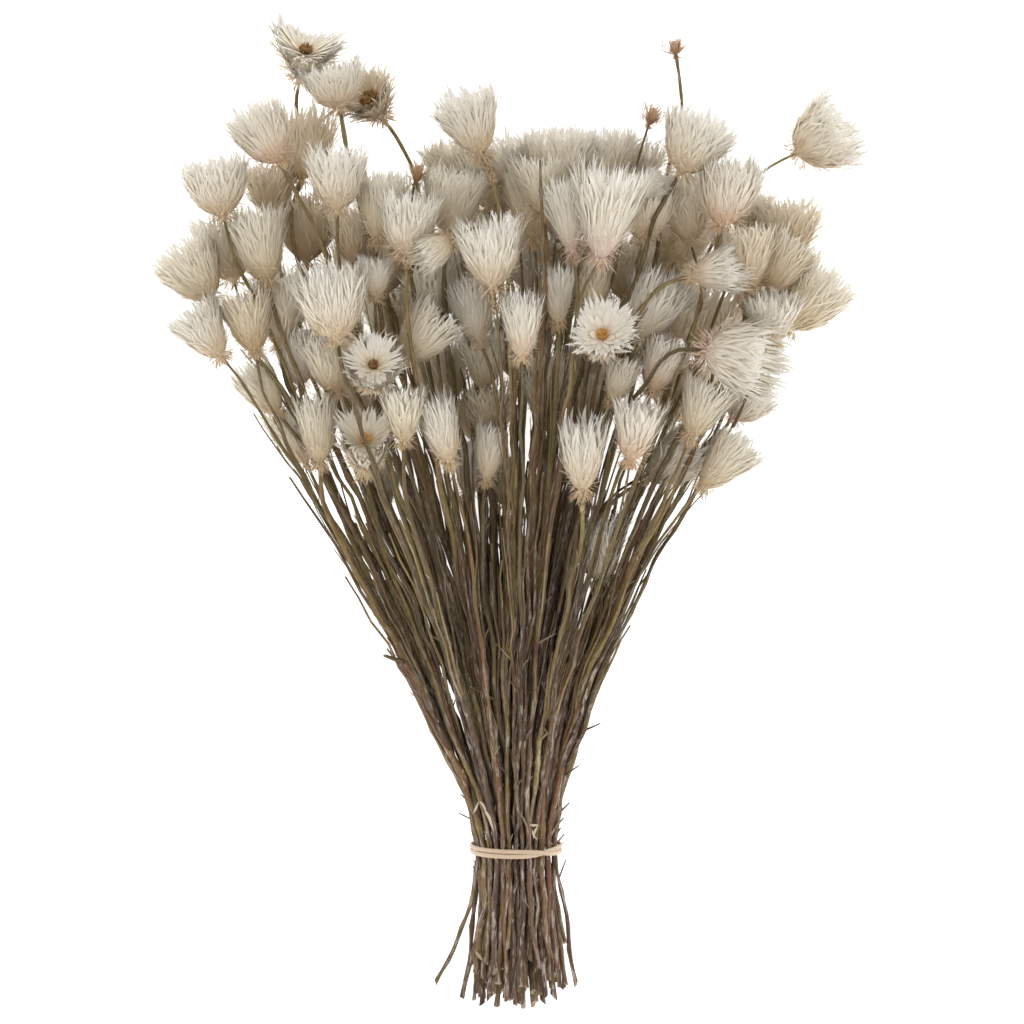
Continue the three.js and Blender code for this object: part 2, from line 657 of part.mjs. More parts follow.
// Blooms that touch are joined, nearest pairs first, until each node holds a few.
function groupHeads(heads, stems) {
  heads.forEach((head) => (head.node = head));
  const pairs = [];
  heads.forEach((a, i) =>
    heads.slice(i + 1).forEach((b) => {
      if (a.kind !== b.kind) return;
      const distance = a.centre.distanceTo(b.centre);
      const apart = distance - a.radius - b.radius;
      if (apart < LINK_LONGEST) pairs.push({ a, b, apart, distance });
    }),
  );
  const clear = ({ a, b }) => {
    const line = new THREE.Line3(a.centre, b.centre);
    const near = (point) => line.closestPointToPoint(point, true, new THREE.Vector3());
    const blocked = heads.some((other) => {
      if (other === a || other === b) return false;
      return near(other.centre).distanceTo(other.centre) < other.radius * LINK_CLEAR;
    });
    if (blocked) return false;
    return stems.every((stem) =>
      stem.points.slice(1).every((point, k) => {
        const hit = nearest(a.centre, b.centre, stem.points[k], point);
        return hit.between.length() > stem.radii[k] + LINK_RADIUS + GAP;
      }),
    );
  };
  const links = [];
  let count = heads.length;
  pairs.sort((p, q) => p.apart - q.apart);
  for (const pair of pairs) {
    if (count <= BLOOM_NODES) break;
    const from = heads.filter((head) => head.node === pair.a.node);
    const to = heads.filter((head) => head.node === pair.b.node);
    if (pair.a.node === pair.b.node || from.length + to.length > MOST_IN_NODE) continue;
    if (!clear(pair)) continue;
    to.forEach((head) => (head.node = pair.a.node));
    links.push(pair);
    count -= 1;
  }
  return links;
}

function joinHeads(members, links) {
  let joined = members[0].solid;
  for (const head of members.slice(1)) joined = joined.add(head.solid);
  for (const { a, b } of links)
    if (members.includes(a) && a.solid.intersect(b.solid).volume() < TOUCH_VOLUME)
      joined = joined.add(linkSolid(a, b));
  return joined;
}

// ---------------------------------------------------------------- bodies of the stems

function stemSolid(stem) {
  const { points, radii } = stem;
  const corners = [];
  let side = new THREE.Vector3(1, 0, 0);
  points.forEach((point, k) => {
    const before = points[Math.max(k - 1, 0)];
    const after = points[Math.min(k + 1, points.length - 1)];
    const along = after.clone().sub(before).normalize();
    if (k === stem.hold) along.set(0, 1, 0);
    if (k === points.length - 1 && stem.head) along.copy(stem.head.axis);
    side = side.clone().addScaledVector(along, -side.dot(along)).normalize();
    const front = along.clone().cross(side);
    for (let n = 0; n < 3; n++) {
      const turn = (n * 2 * Math.PI) / 3;
      corners.push(
        point
          .clone()
          .addScaledVector(side, radii[k] * Math.cos(turn))
          .addScaledVector(front, radii[k] * Math.sin(turn)),
      );
    }
  });
  const faces = [[0, 2, 1]];
  for (let k = 0; k + 1 < points.length; k++)
    for (let n = 0; n < 3; n++) {
      const a = 3 * k + n;
      const b = 3 * k + ((n + 1) % 3);
      faces.push([a, b, b + 3], [a, b + 3, a + 3]);
    }
  const top = 3 * (points.length - 1);
  faces.push([top, top + 1, top + 2]);
  return solidFrom(corners, faces);
}

// Where the band presses a bundle together its stems are one: a short flat hub.
function hubSolid(stems) {
  const points = stems.flatMap(({ slot }) =>
    [0, 1, 2, 3].flatMap((corner) => {
      const x = slot.x + (corner % 2 ? 1 : -1) * HUB_REACH;
      const z = slot.z + BAND_HEIGHT + (corner > 1 ? 1 : -1) * HUB_REACH;
      return [-1, 1].map((end) => new THREE.Vector3(x, end * HUB_HALF_LENGTH, z));
    }),
  );
  return solidOf(new ConvexGeometry(points));
}

function bundlesOf(stems) {
  const columns = [...new Set(stems.map((stem) => stem.slot.column))].sort((a, b) => a - b);
  const bundles = [];
  let from = 0;
  BUNDLE_COLUMNS.forEach((wide, block) => {
    const part = columns.slice(from, from + wide);
    from += wide;
    for (const side of ["under", "over"]) {
      const members = stems.filter(
        ({ slot }) => part.includes(slot.column) && slot.z > 0 === (side === "over"),
      );
      bundles.push({ name: `stems_${block + 1}_${side}`, members });
    }
  });
  return bundles;
}

// ---------------------------------------------------------------- the elastic band

class StrandCurve extends THREE.Curve {
  constructor(halfWidth, halfDepth, sway, turn) {
    super();
    Object.assign(this, { halfWidth, halfDepth, sway, turn });
  }
  getPoint(t, target = new THREE.Vector3()) {
    const angle = 2 * Math.PI * t;
    return target.set(
      this.halfWidth * Math.cos(angle),
      this.sway * Math.sin(angle + this.turn),
      BAND_HEIGHT + this.halfDepth * Math.sin(angle),
    );
  }
}

function strandSolid(halfWidth, halfDepth, sway, turn) {
  const curve = new StrandCurve(halfWidth, halfDepth, sway, turn);
  const points = [];
  const faces = [];
  for (let k = 0; k < STRAND_STEPS; k++) {
    const middle = curve.getPoint(k / STRAND_STEPS);
    const along = curve.getTangent(k / STRAND_STEPS);
    const out = new THREE.Vector3(middle.x, 0, middle.z - BAND_HEIGHT).normalize();
    const side = along.clone().cross(out).normalize();
    for (let n = 0; n < STRAND_SIDES; n++) {
      const angle = (2 * Math.PI * n) / STRAND_SIDES;
      points.push(
        middle
          .clone()
          .addScaledVector(out, STRAND_RADIUS * Math.cos(angle))
          .addScaledVector(side, STRAND_RADIUS * Math.sin(angle)),
      );
      const a = k * STRAND_SIDES + n;
      const b = k * STRAND_SIDES + ((n + 1) % STRAND_SIDES);
      const wrap = (corner) => (corner + STRAND_SIDES) % (STRAND_STEPS * STRAND_SIDES);
      faces.push([a, b, wrap(b)], [a, wrap(b), wrap(a)]);
    }
  }
  const solid = solidFrom(points, faces);
  return solid.volume() > 0 ? solid : solidFrom(points, faces.map(([a, b, c]) => [a, c, b]));
}

function bandSolid(stems) {
  const out = Math.max(...stems.map(({ slot }) => slot.out));
  const halfWidth = BUNDLE_HALF_WIDTH * out + STRAND_RADIUS + STRAND_CLEAR;
  const halfDepth = BUNDLE_HALF_DEPTH * out + STRAND_RADIUS + STRAND_CLEAR;
  const first = strandSolid(halfWidth, halfDepth, STRAND_SWAY, STRAND_TURN);
  return first.add(strandSolid(halfWidth, halfDepth, -STRAND_SWAY, STRAND_TURN));
}

// ---------------------------------------------------------------- the bunch

function finish(color, roughness, metalness = 0) {
  return new THREE.MeshStandardMaterial({ color, roughness, metalness, flatShading: true });
}

const PETAL_CREAM = finish(0xe2dccf, 0.62);
const PETAL_TAN = finish(0xc9bb9f, 0.66);
const STEM_BROWN = finish(0x6b5a45, 0.82);
const SPENT_BROWN = finish(0x8d7550, 0.85);
const BAND_BEIGE = finish(0xd9c9a6, 0.55);

function meshFrom(name, solid, material) {
  const mesh = solid.getMesh();
  const geometry = new THREE.BufferGeometry()
    .setAttribute("position", new THREE.BufferAttribute(mesh.vertProperties, 3))
    .setIndex(new THREE.BufferAttribute(mesh.triVerts, 1));
  geometry.computeVertexNormals();
  const made = new THREE.Mesh(geometry, material);
  made.name = name;
  return made;
}

function buildBunch() {
  const heads = [
    ...BLOOMS.map((row, k) => headFrom(row, k, "bloom")),
    ...Array.from({ length: UNDER_COUNT }, (_, k) =>
      headFrom(underRow(k), UNDER_INDEX + k, "bloom"),
    ),
    ...SPENT.map((row, k) => headFrom(row, SPENT_INDEX + k, "spent")),
  ];
  settleHeads(heads);
  heads.forEach(placeHead);

  const bare = BARE.map(([x, y, depth], k) => ({
    foot: new THREE.Vector3(x, y, midline(y) + depth * halfDepth(x, y)),
    axis: new THREE.Vector3(0, 1, 0),
    index: BARE_INDEX + k,
  }));
  const ends = [...heads, ...bare];
  assignSlots(ends);
  const stems = ends.map(stemRoute);
  clearStems(stems, heads);

  const links = groupHeads(heads, stems);
  for (const head of heads) head.solid = headSolid(head, limitsOf(head, heads, stems));

  const bunch = new THREE.Group();
  const nodes = [...new Set(heads.map((head) => head.node))];
  nodes.sort((a, b) => b.foot.y - a.foot.y || a.foot.x - b.foot.x);
  const counts = { bloom: 0, spent: 0 };
  for (const node of nodes) {
    const members = heads.filter((head) => head.node === node);
    counts[node.kind] += 1;
    const number = String(counts[node.kind]).padStart(2, "0");
    const name = node.kind === "spent" ? `spent_head_${number}` : `blooms_${number}`;
    const deep = members.every((head) => head.z < head.middle + TOP_RISE[0]);
    const material = node.kind === "spent" ? SPENT_BROWN : deep ? PETAL_TAN : PETAL_CREAM;
    bunch.add(meshFrom(name, joinHeads(members, links), material));
  }
  for (const { name, members } of bundlesOf(stems)) {
    let joined = hubSolid(members);
    for (const stem of members) joined = joined.add(stemSolid(stem));
    bunch.add(meshFrom(name, joined, STEM_BROWN));
  }
  bunch.add(meshFrom("elastic_band", bandSolid(stems), BAND_BEIGE));
  return bunch;
}

const bunch = buildBunch();
const box = new THREE.Box3().setFromObject(bunch, true);
bunch.position.set(-(box.min.x + box.max.x) / 2, -(box.min.y + box.max.y) / 2, -box.min.z);

export default bunch;
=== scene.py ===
"""A tied bunch of dried strawflowers: papery bracts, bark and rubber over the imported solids.

The layout is worked out in millimetres from the middle of the elastic band, +Y towards the
blooms and +Z up, by the same rules as the solids. A surface is moved into the frame and
turned to metres when it becomes a mesh.
"""

import logging
import math
from dataclasses import dataclass, field
from enum import Enum

import bpy
import numpy as np
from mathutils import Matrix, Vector


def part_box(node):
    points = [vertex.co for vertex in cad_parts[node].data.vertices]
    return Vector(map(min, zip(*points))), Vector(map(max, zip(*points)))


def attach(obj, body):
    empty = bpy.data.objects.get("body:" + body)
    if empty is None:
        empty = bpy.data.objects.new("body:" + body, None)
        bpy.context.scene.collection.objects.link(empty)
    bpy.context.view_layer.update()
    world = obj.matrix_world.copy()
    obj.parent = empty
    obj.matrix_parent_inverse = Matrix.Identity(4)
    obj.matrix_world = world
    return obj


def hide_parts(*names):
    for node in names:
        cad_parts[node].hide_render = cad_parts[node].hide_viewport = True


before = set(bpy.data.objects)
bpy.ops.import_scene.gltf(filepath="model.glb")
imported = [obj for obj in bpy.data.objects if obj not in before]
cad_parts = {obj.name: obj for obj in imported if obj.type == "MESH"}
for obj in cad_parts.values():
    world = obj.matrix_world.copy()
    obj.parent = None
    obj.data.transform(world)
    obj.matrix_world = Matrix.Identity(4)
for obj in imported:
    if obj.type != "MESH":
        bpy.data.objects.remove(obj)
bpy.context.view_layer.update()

log = logging.getLogger("strawflowers")

Array = np.ndarray
Pair = tuple[float, float]
Triple = tuple[float, float, float]
Socket = bpy.types.NodeSocket
Tree = bpy.types.NodeTree

# Metres in a millimetre.
MM = 0.001

# The rim number of a tip, and how many seeds each head has for its bracts.
RIM_END = 9
SEEDS_A_HEAD = 700

# Shares of a bract's length at its base, rings and tip.
LONG_BRACT = np.array([0.0, 0.35, 0.75, 1.0])
SHORT_BRACT = np.array([0.0, 0.5, 1.0])

# Angles: a full turn, the turn between two bracts of a spiral, and the spans of draws.
TURN = 2 * math.pi
GOLDEN_TURN = 2.399963
DRAWN_TURN = 6.283
DRAWN_PHASE = 6.3

# ------------------------------------------------------------------ layout of the bunch

# The bunch's midline and outline, with the solids' clearances.
GAP = 0.32
SLACK = 0.25
FLOOR = 0.4
BAND_HEIGHT = 24.6
RISE = 0.212
LEVEL_FROM = 250.0
MASS_HALF_DEPTH = 80.0
MASS_HALF_WIDTH = 170.0
TOP_ROUNDING = 0.8
UNDER_ROUNDING = 0.4
DEPTH_GROWTH = 0.26

# The slots under the band, and the cut ends behind it.
SLOT_PITCH = 3.2
SLOT_COLUMNS = 7
SLOT_ROWS = 6
FAN_POINT = 60.0
BUNDLE_HALF_WIDTH = 20.4
BUNDLE_HALF_DEPTH = 19.8
BUNDLE_COLUMNS = (2, 2, 2, 1, 2, 2, 2)
HUB_REACH = 1.36
BUTT_SPREAD = (1.16, 1.1)
BUTT_STRAY = (3.0, 2.0)
BUTT_SHORTEST = 44.0
BUTT_LONGEST = 79.0
# Two ends kick out: the stem's column and row, then x and y of its knee and its cut end.
KICKED = {(-6, 1): (-22, -27, -37, -67), (6, 1): (23, -24, 30, -68)}
KICK_RISE = 2.0

# The stems: radii, the shape of their way, and how they are pushed clear.
STEM_BUTT_RADIUS = 1.35
STEM_MID_RADIUS = 1.6
STEM_NECK_RADIUS = 1.2
STEM_FREE_POINTS = 3
STEM_LIFT = 1.0
NECK_LENGTH = 13.0
HELD_HANDLE = 0.4
NECK_HANDLE = 0.13
WAIST = (0.55, 0.25)
FAN_LEFT = (21.0, 0.33, 0.0007)
FAN_RIGHT = (20.0, 0.14, 0.0014)
CLEAR_STEPS = 240
EASE_STEPS = 180
STEM_EASE = 0.12
STEM_PUSH = 0.5
BLOOM_PUSH = 0.6
FARTHEST_STEP = 4.0
PAIRS_LAST = 12
PAIRS_REACH = 7.0

# The band's strands.
STRAND_RADIUS = 1.15
STRAND_CLEAR = -0.1

# The heads: their room, their turn, and how they settle beside each other.
RADIUS_SHARE = 0.23
FAN_TURN = 0.8
OPEN_LIFT = 40.0
INNER_DEPTH = 0.4
INNER_FULLNESS = 1.18
CENTRE_SHARE = 0.42
CORE_SHARE = 0.33
TOUCH = 0.9
SETTLE_STEPS = 200
SETTLE_PUSH = 0.2
SETTLE_HOME = 0.04
SETTLE_INSET = 0.8
LIMIT_REACH = 1.2
STEM_GIVE = 5.0

# How blooms are joined into nodes.
BLOOM_NODES = 45
MOST_IN_NODE = 5
LINK_CLEAR = 0.75
LINK_RADIUS = 1.2
LINK_LONGEST = 14.0

# The blooms of the hidden underside.
UNDER_COUNT = 22
UNDER_MIDDLE = (-2.0, 258.0)
UNDER_HALF = (122.0, 66.0)
UNDER_DEPTH = (-1.1, -0.7)
UNDER_WIDTH = (25.0, 33.0)
UNDER_TALLER = 3.0
UNDER_TILT = 1.1

# The draws: their seed and wave, and where the counts of each kind start.
SEED = 7.3
WAVE = (127.1, 311.7, 43758.5453)
UNDER_INDEX = 200
SPENT_INDEX = 300
BARE_INDEX = 400


class Kind(Enum):
    """What grows at the end of a stem."""

    BLOOM = "bloom"
    SPENT = "spent"


class TintAndShade(Enum):
    """A bloom's bract colour: partly its dried colour and partly painted light and shade."""

    IVORY = "ivory"
    CREAM = "cream"
    TAN = "tan"
    BROWN = "brown"
    GREY = "grey"
    BLUSH = "blush"
    RUST = "rust"
    SPENT = "spent"


I, C, T, N, G, B, R = (
    TintAndShade.IVORY, TintAndShade.CREAM, TintAndShade.TAN, TintAndShade.BROWN, TintAndShade.GREY, TintAndShade.BLUSH, TintAndShade.RUST,
)

# Blooms seen from above: x and y of the foot, tilt from +Y towards +X, width, height,
# depth from -1 (underside) to 1 (top), lift towards +Z, tint. The tint is partly painted
# light and shade: paler on lit heads, tan and brown on shaded heads deep in the bunch.
BLOOMS = (
    (-108, 387, 12, 30, 26, 0.1, 32, I),
    (-88, 371, -12, 26, 21, 0.15, 5, I),
    (-67, 367, -35, 24, 22, 0, 35, T),
    (-118, 344, -30, 28, 33, 0.6, 0, R),
    (-108, 336, 5, 25, 32, -0.3, 0, T),
    (-89, 320, 0, 30, 32, 0.75, 0, I),
    (-146, 317, -12, 33, 31, 0.6, 0, I),
    (-122, 318, -5, 22, 23, -0.3, 0, T),
    (-105, 295, 0, 28, 31, -0.35, 0, N),
    (-124, 284, -12, 24, 33, 0.3, 0, C),
    (-141, 285, -15, 24, 30, 0, 0, C),
    (-152, 276, -35, 28, 28, 0.3, 0, C),
    (-147, 247, -35, 26, 31, 0.5, 0, I),
    (-130, 249, -12, 25, 33, 0.4, 0, T),
    (-89, 255, -8, 34, 39, 0.9, 0, I),
    (-69, 305, 5, 24, 35, 0.5, 0, C),
    (-54, 297, 3, 29, 33, 0.85, 0, I),
    (-34, 309, 8, 27, 28, 0.35, 0, C),
    (-17, 348, -20, 33, 34, 0.7, 0, I),
    (-31, 331, -8, 23, 22, -0.2, 0, C),
    (-14, 322, -8, 22, 25, -0.1, 0, C),
    (1, 331, -5, 30, 23, 0.1, 0, I),
    (12, 332, 0, 29, 23, -0.5, 0, I),
    (22, 334, 0, 30, 24, 0.3, 0, I),
    (33, 332, 3, 29, 23, -0.3, 0, I),
    (43, 334, 0, 30, 24, 0.15, 0, I),
    (58, 329, 5, 26, 24, 0, 0, I),
    (14, 318, -4, 26, 30, 0.6, 0, C),
    (63, 305, 8, 25, 31, 0.35, 0, C),
    (28, 299, -8, 22, 39, 0.8, 0, B),
    (42, 296, 8, 35, 47, 0.9, 0, B),
    (9, 305, -5, 22, 33, 0.3, 0, T),
    (82, 339, 25, 36, 33, 0.65, 0, I),
    (102, 312, 12, 30, 36, 0.75, 0, R),
    (60, 328, 60, 14, 17, 0.45, 10, B),
    (87, 304, -8, 24, 33, 0.2, 0, C),
    (140, 349, 60, 31, 29, 0.1, 10, I),
    (134, 296, 5, 29, 26, 0, 0, T),
    (113, 308, 15, 18, 21, 0, 0, C),
    (114, 279, 0, 27, 30, 0.2, 0, T),
    (124, 280, 30, 24, 28, 0.2, 0, T),
    (88, 287, 78, 24, 30, 0.5, 15, I),
    (136, 262, 40, 27, 33, 0, 0, C),
    (127, 254, 3, 27, 28, 0.6, 10, I),
    (95, 250, 100, 39, 42, 0.75, 15, B),
    (108, 216, 40, 20, 20, 0, 0, B),
    (87, 207, 22, 24, 31, 0.5, 0, C),
    (67, 230, 22, 20, 26, 0.3, 0, R),
    (67, 186, 55, 24, 29, 0, 0, G),
    (93, 182, 42, 25, 35, 0.4, 0, C),
    (57, 195, 10, 25, 32, 0.8, 0, R),
    (33, 180, 0, 23, 39, 0.85, 0, I),
    (42, 135, -3, 24, 32, 0.1, 0, G),
    (43, 251, 0, 33, 30, 0.8, 55, B),
    (61, 256, 22, 26, 32, 0.15, 0, G),
    (48, 224, 18, 16, 24, 0.4, 0, C),
    (38, 208, 0, 21, 29, -0.2, 0, N),
    (78, 255, 10, 20, 27, 0, 0, C),
    (3, 246, 0, 20, 35, 0.85, 0, I),
    (-11, 281, -5, 32, 36, 0.95, 0, I),
    (-31, 305, -120, 18, 23, 0.8, 10, C),
    (-18, 255, -15, 19, 29, 0.15, 0, G),
    (5, 281, 0, 20, 26, -0.4, 0, G),
    (-16, 231, 0, 19, 25, -0.2, 0, C),
    (-40, 263, -10, 22, 28, 0.1, 0, C),
    (-56, 246, 40, 24, 29, 0.35, 0, C),
    (-71, 234, 0, 28, 26, 0.75, 45, I),
    (-90, 229, -10, 22, 28, 0.2, 0, C),
    (-98, 194, -3, 21, 36, 0.5, 0, C),
    (-75, 192, 0, 26, 36, 0.8, 40, C),
    (-56, 204, 0, 21, 29, 0.75, 0, C),
    (-33, 194, -15, 19, 36, 0.75, 0, I),
    (-15, 185, 8, 14, 25, 0.3, 0, C),
    (-14, 207, 0, 16, 20, -0.1, 0, N),
    (14, 213, 0, 20, 33, -0.1, 0, C),
    (21, 263, 0, 15, 27, 0.3, 0, I),
    (37, 269, 0, 18, 25, 0.2, 0, T),
    (-65, 279, 0, 24, 27, -0.1, 0, N),
    (-45, 280, 0, 23, 26, -0.2, 0, T),
    (-82, 294, 0, 20, 25, 0, 0, T),
    (-70, 276, 0, 17, 22, 0.5, 0, I),
    (-118, 253, 0, 22, 30, 0.2, 0, C),
    (-108, 233, -5, 19, 24, 0.1, 0, B),
    (-119, 219, -35, 18, 25, 0.2, 0, C),
    (-105, 194, -25, 17, 28, 0.1, 0, C),
    (-62, 246, 0, 18, 26, -0.2, 0, T),
    (-69, 168, 0, 19, 24, -0.6, 0, G),
    (-24, 178, 0, 13, 25, 0.1, 0, G),
    (-6, 173, 0, 15, 23, -0.2, 0, N),
    (54, 276, 0, 22, 28, -0.3, 0, T),
)

# Spent heads in the same columns, and bare stems: x, y and depth of the broken tip.
SPENT = (
    (80, 397, -10, 12, 10, 0.2, 0, TintAndShade.SPENT),
    (66, 362, 20, 12, 12, 0.3, 0, TintAndShade.SPENT),
    (-50, 333, 10, 11, 12, 0.4, 0, TintAndShade.SPENT),
)
BARE = ((12, 344, 0.95),)


def draw(index: Array | float, salt: float) -> Array:
    """Give a fixed draw from 0 to 1 for a counted thing: the fraction of a wild sine.

    Args:
        index: The count of the thing, or an array of counts.
        salt: A number for what is drawn, so that one thing's draws differ.

    Returns:
        The draws, shaped like index.
    """
    wave = np.sin(np.asarray(index, float) * WAVE[0] + salt * WAVE[1] + SEED) * WAVE[2]
    return wave - np.floor(wave)


def mix(a: Array | float, b: Array | float, t: Array | float) -> Array | float:
    """Give the value a share t of the way from a to b."""
    return a + (b - a) * t


def stepped(start: Array, end: Array, t: Array) -> Array:
    """Step from start to end by the shares t, one row a blade."""
    return start[:, None] + (end - start)[:, None] * t


def strayed(seed: Array | float, salt: float, span: float) -> Array:
    """Draw a stray to either side, from minus half the span to half of it."""
    return span * (draw(seed, salt) - 0.5)


def square_to(forward: Array, turn: Array | float) -> Array:
    """Give directions square to others and turned round them by an angle."""
    side = unit(np.cross(forward, [0.0, 0.0, 1.0]))
    return side * np.cos(turn) + np.cross(side, forward) * np.sin(turn)


def unit(vectors: Array) -> Array:
    """Scale vectors, held in the last axis, to length one."""
    return vectors / np.maximum(np.linalg.norm(vectors, axis=-1, keepdims=True), 1e-12)


def smooth(values: Array | float, low: float, high: float) -> Array:
    """Rise smoothly from 0 at low to 1 at high: 3t² - 2t³ of the share t between them."""
    t = np.clip((np.asarray(values, float) - low) / (high - low), 0.0, 1.0)
    return t * t * (3.0 - 2.0 * t)


def midline(y: Array | float) -> Array:
    """Height of the bunch's midline: it climbs evenly from the band and then runs level."""
    return BAND_HEIGHT + RISE * np.clip(y, 0.0, LEVEL_FROM)


def half_depth(x: Array, y: Array, rounding: float = TOP_ROUNDING) -> Array:
    """Half depth of the bunch: it grows away from the band and thins as an ellipse does.

    Args:
        x: Places across the bunch.
        y: Places along it.
        rounding: How much of the depth's square is gone at the full half width.

    Returns:
        The half depths.
    """
    grown = BUNDLE_HALF_DEPTH + DEPTH_GROWTH * np.maximum(y, 0.0)
    full = np.minimum(grown, MASS_HALF_DEPTH)
    return full * np.sqrt(1.0 - rounding * np.minimum(1.0, (x / MASS_HALF_WIDTH) ** 2))


def fan_reach(terms: Triple, y: Array) -> Array:
    """How far out stems may lie at a place y along the bunch: a + b|y| + c y²."""
    a, b, c = terms
    return a + b * np.abs(y) + c * y * y


def nearest(p: Array, q: Array, r: Array, s: Array) -> tuple[Array, Array, Array]:
    """Find the nearest points of straight stretches p-q and r-s.

    The closest points of two endless lines come from their dot products; each share is
    then held between 0 and 1 and the other is worked out again.

    Args:
        p: Starts of the first stretches.
        q: Ends of the first stretches.
        r: Starts of the second stretches.
        s: Ends of the second stretches.

    Returns:
        Shares along the first and second, and the vectors from second to first.
    """
    u, v, w = q - p, s - r, p - r
    a, b, c = (u * u).sum(-1), (u * v).sum(-1), (v * v).sum(-1)
    d, e = (u * w).sum(-1), (v * w).sum(-1)
    bottom = a * c - b * b
    skew = bottom > 1e-9
    safe = np.where(skew, bottom, 1.0)
    along = np.where(skew, np.clip((b * e - c * d) / safe, 0, 1), 0.0)
    other = np.clip((b * along + e) / c, 0, 1)
    along = np.clip((b * other - d) / a, 0, 1)
    other = np.clip((b * along + e) / c, 0, 1)
    between = w + u * along[..., None] - v * other[..., None]
    return along, other, between


def underside_rows() -> list[tuple]:
    """Set blooms on the hidden side of the bunch, on a sunflower spiral.

    Returns:
        Rows like those of BLOOMS.
    """
    rows = []
    for k in range(UNDER_COUNT):
        out = math.sqrt((k + 0.5) / UNDER_COUNT)
        x = UNDER_MIDDLE[0] + UNDER_HALF[0] * out * math.cos(k * GOLDEN_TURN)
        y = UNDER_MIDDLE[1] + UNDER_HALF[1] * out * math.sin(k * GOLDEN_TURN)
        tilt = math.degrees(math.atan2(x, y)) * UNDER_TILT
        width = mix(*UNDER_WIDTH, float(draw(k, 1)))
        depth = mix(*UNDER_DEPTH, float(draw(k, 2)))
        tint_and_shade = (TintAndShade.TAN, TintAndShade.CREAM, TintAndShade.GREY)[k % 3]
        rows.append((x, y, tilt, width, width + UNDER_TALLER, depth, 0, tint_and_shade))
    return rows


@dataclass
class Heads:
    """All heads of the bunch as arrays, one row a head.

    Attributes:
        index: Count that seeds each head's own draws.
        axis: Directions from foot to face.
        radius: Radii of the room that the heads take up.
        x, y: Places of the feet, seen from above.
        home, z: Heights that the rows ask for, and that the heads settle at.
        foot: Where the stems end.
        centre: Inner centres, from which neighbours are held off.
    """

    kinds: list[Kind]
    tints_and_shade: list[TintAndShade]
    index: Array
    width: Array
    height: Array
    open: Array
    axis: Array
    radius: Array
    x: Array
    y: Array
    home: Array
    z: Array = field(default=None)
    foot: Array = field(default=None)
    centre: Array = field(default=None)

    @classmethod
    def laid_out(cls) -> "Heads":
        """Read the rows, size the heads, and settle and place them.

        Returns:
            The heads.
        """
        rows = [*BLOOMS, *underside_rows(), *SPENT]
        table = np.array([row[:7] for row in rows], float)
        x, y, tilt, wide, high, depth, lift = table.T
        kinds = [Kind.BLOOM] * (len(BLOOMS) + UNDER_COUNT) + [Kind.SPENT] * len(SPENT)
        bloom = np.array([kind is Kind.BLOOM for kind in kinds])
        fuller = np.where(bloom & (depth < INNER_DEPTH), INNER_FULLNESS, 1.0)
        width, height = wide * fuller, high * fuller
        radius = RADIUS_SHARE * (width + height)
        reach = np.maximum(half_depth(x, y) - radius, 0.0)
        up = np.arctan2(depth * reach, y) * FAN_TURN + np.radians(lift)
        turn = np.radians(tilt)
        axis = np.stack([np.sin(turn) * np.cos(up), np.cos(turn) * np.cos(up), np.sin(up)], 1)
        index = np.concatenate([
            np.arange(len(BLOOMS)),
            UNDER_INDEX + np.arange(UNDER_COUNT),
            SPENT_INDEX + np.arange(len(SPENT)),
        ])
        heads = cls(
            kinds, [row[7] for row in rows], index, width, height,
            np.clip(lift / OPEN_LIFT, 0, 1), axis, radius, x, y, midline(y) + depth * reach,
        )
        heads.settle()
        heads.place()
        return heads

    def settle(self) -> None:
        """Move heads that would share the same room apart in height, near their place.

        Each head has three knots: its own middle, its foot and its neck. A knot nearer
        to another head's middle than both allow pushes the two heads apart, a share of
        the clash in each step, and each head eases back to its own height.
        """
        down = np.stack([0 * self.height, self.height / 2, self.height / 2 + NECK_LENGTH])
        flat = self.axis[None, :, :2] * (self.height / 2 - down)[..., None]
        flat = flat + np.stack([self.x, self.y], 1)
        drop = -self.axis[:, 2] * down
        keep = np.full_like(down, STEM_NECK_RADIUS + GAP)
        keep[0] = TOUCH * self.radius
        count = len(self.x)
        held = np.stack([TOUCH * self.radius, *[CORE_SHARE * self.width] * 2])
        need = keep[:, :, None] + held[:, None, :]
        away = np.linalg.norm(flat[:, :, None] - flat[0][None, None], axis=-1)
        close = (away < need) & ~np.eye(count, dtype=bool)
        close[0] &= np.triu(np.ones((count, count), bool))
        least = np.sqrt(np.maximum(need**2 - away**2, 0.0))
        middle = midline(self.y)
        inset = SETTLE_INSET * self.radius
        top = middle + half_depth(self.x, self.y) - inset
        low = middle - half_depth(self.x, self.y, UNDER_ROUNDING) + inset
        low = np.maximum(low, FLOOR + inset)
        z = self.home.copy()
        for _ in range(SETTLE_STEPS):
            over = (z + drop)[:, :, None] - z[None, None, :]
            short = np.where(close, np.maximum(least - np.abs(over), 0.0), 0.0)
            move = np.where(over >= 0, 1.0, -1.0) * short * SETTLE_PUSH
            push = move.sum(axis=(0, 2)) - move.sum(axis=(0, 1))
            z = z + push + (self.home - z) * SETTLE_HOME
            z = np.minimum(np.maximum(z, low), top)
        self.z = z

    def place(self) -> None:
        """Work out each head's foot and inner centre from its place and axis."""
        up = self.axis * self.height[:, None]
        middle = np.stack([self.x + up[:, 0] / 2, self.y + up[:, 1] / 2, self.z], 1)
        self.foot = middle - up / 2
        self.centre = self.foot + up * CENTRE_SHARE


@dataclass
class Slot:
    """A place for one stem in the bundle under the band.

    Attributes:
        x, z: Where it lies across the bundle, and over the band's middle.
        out: How far out it lies, where 1 is the bundle's ellipse.
    """

    column: int
    row: int
    x: float
    z: float
    out: float


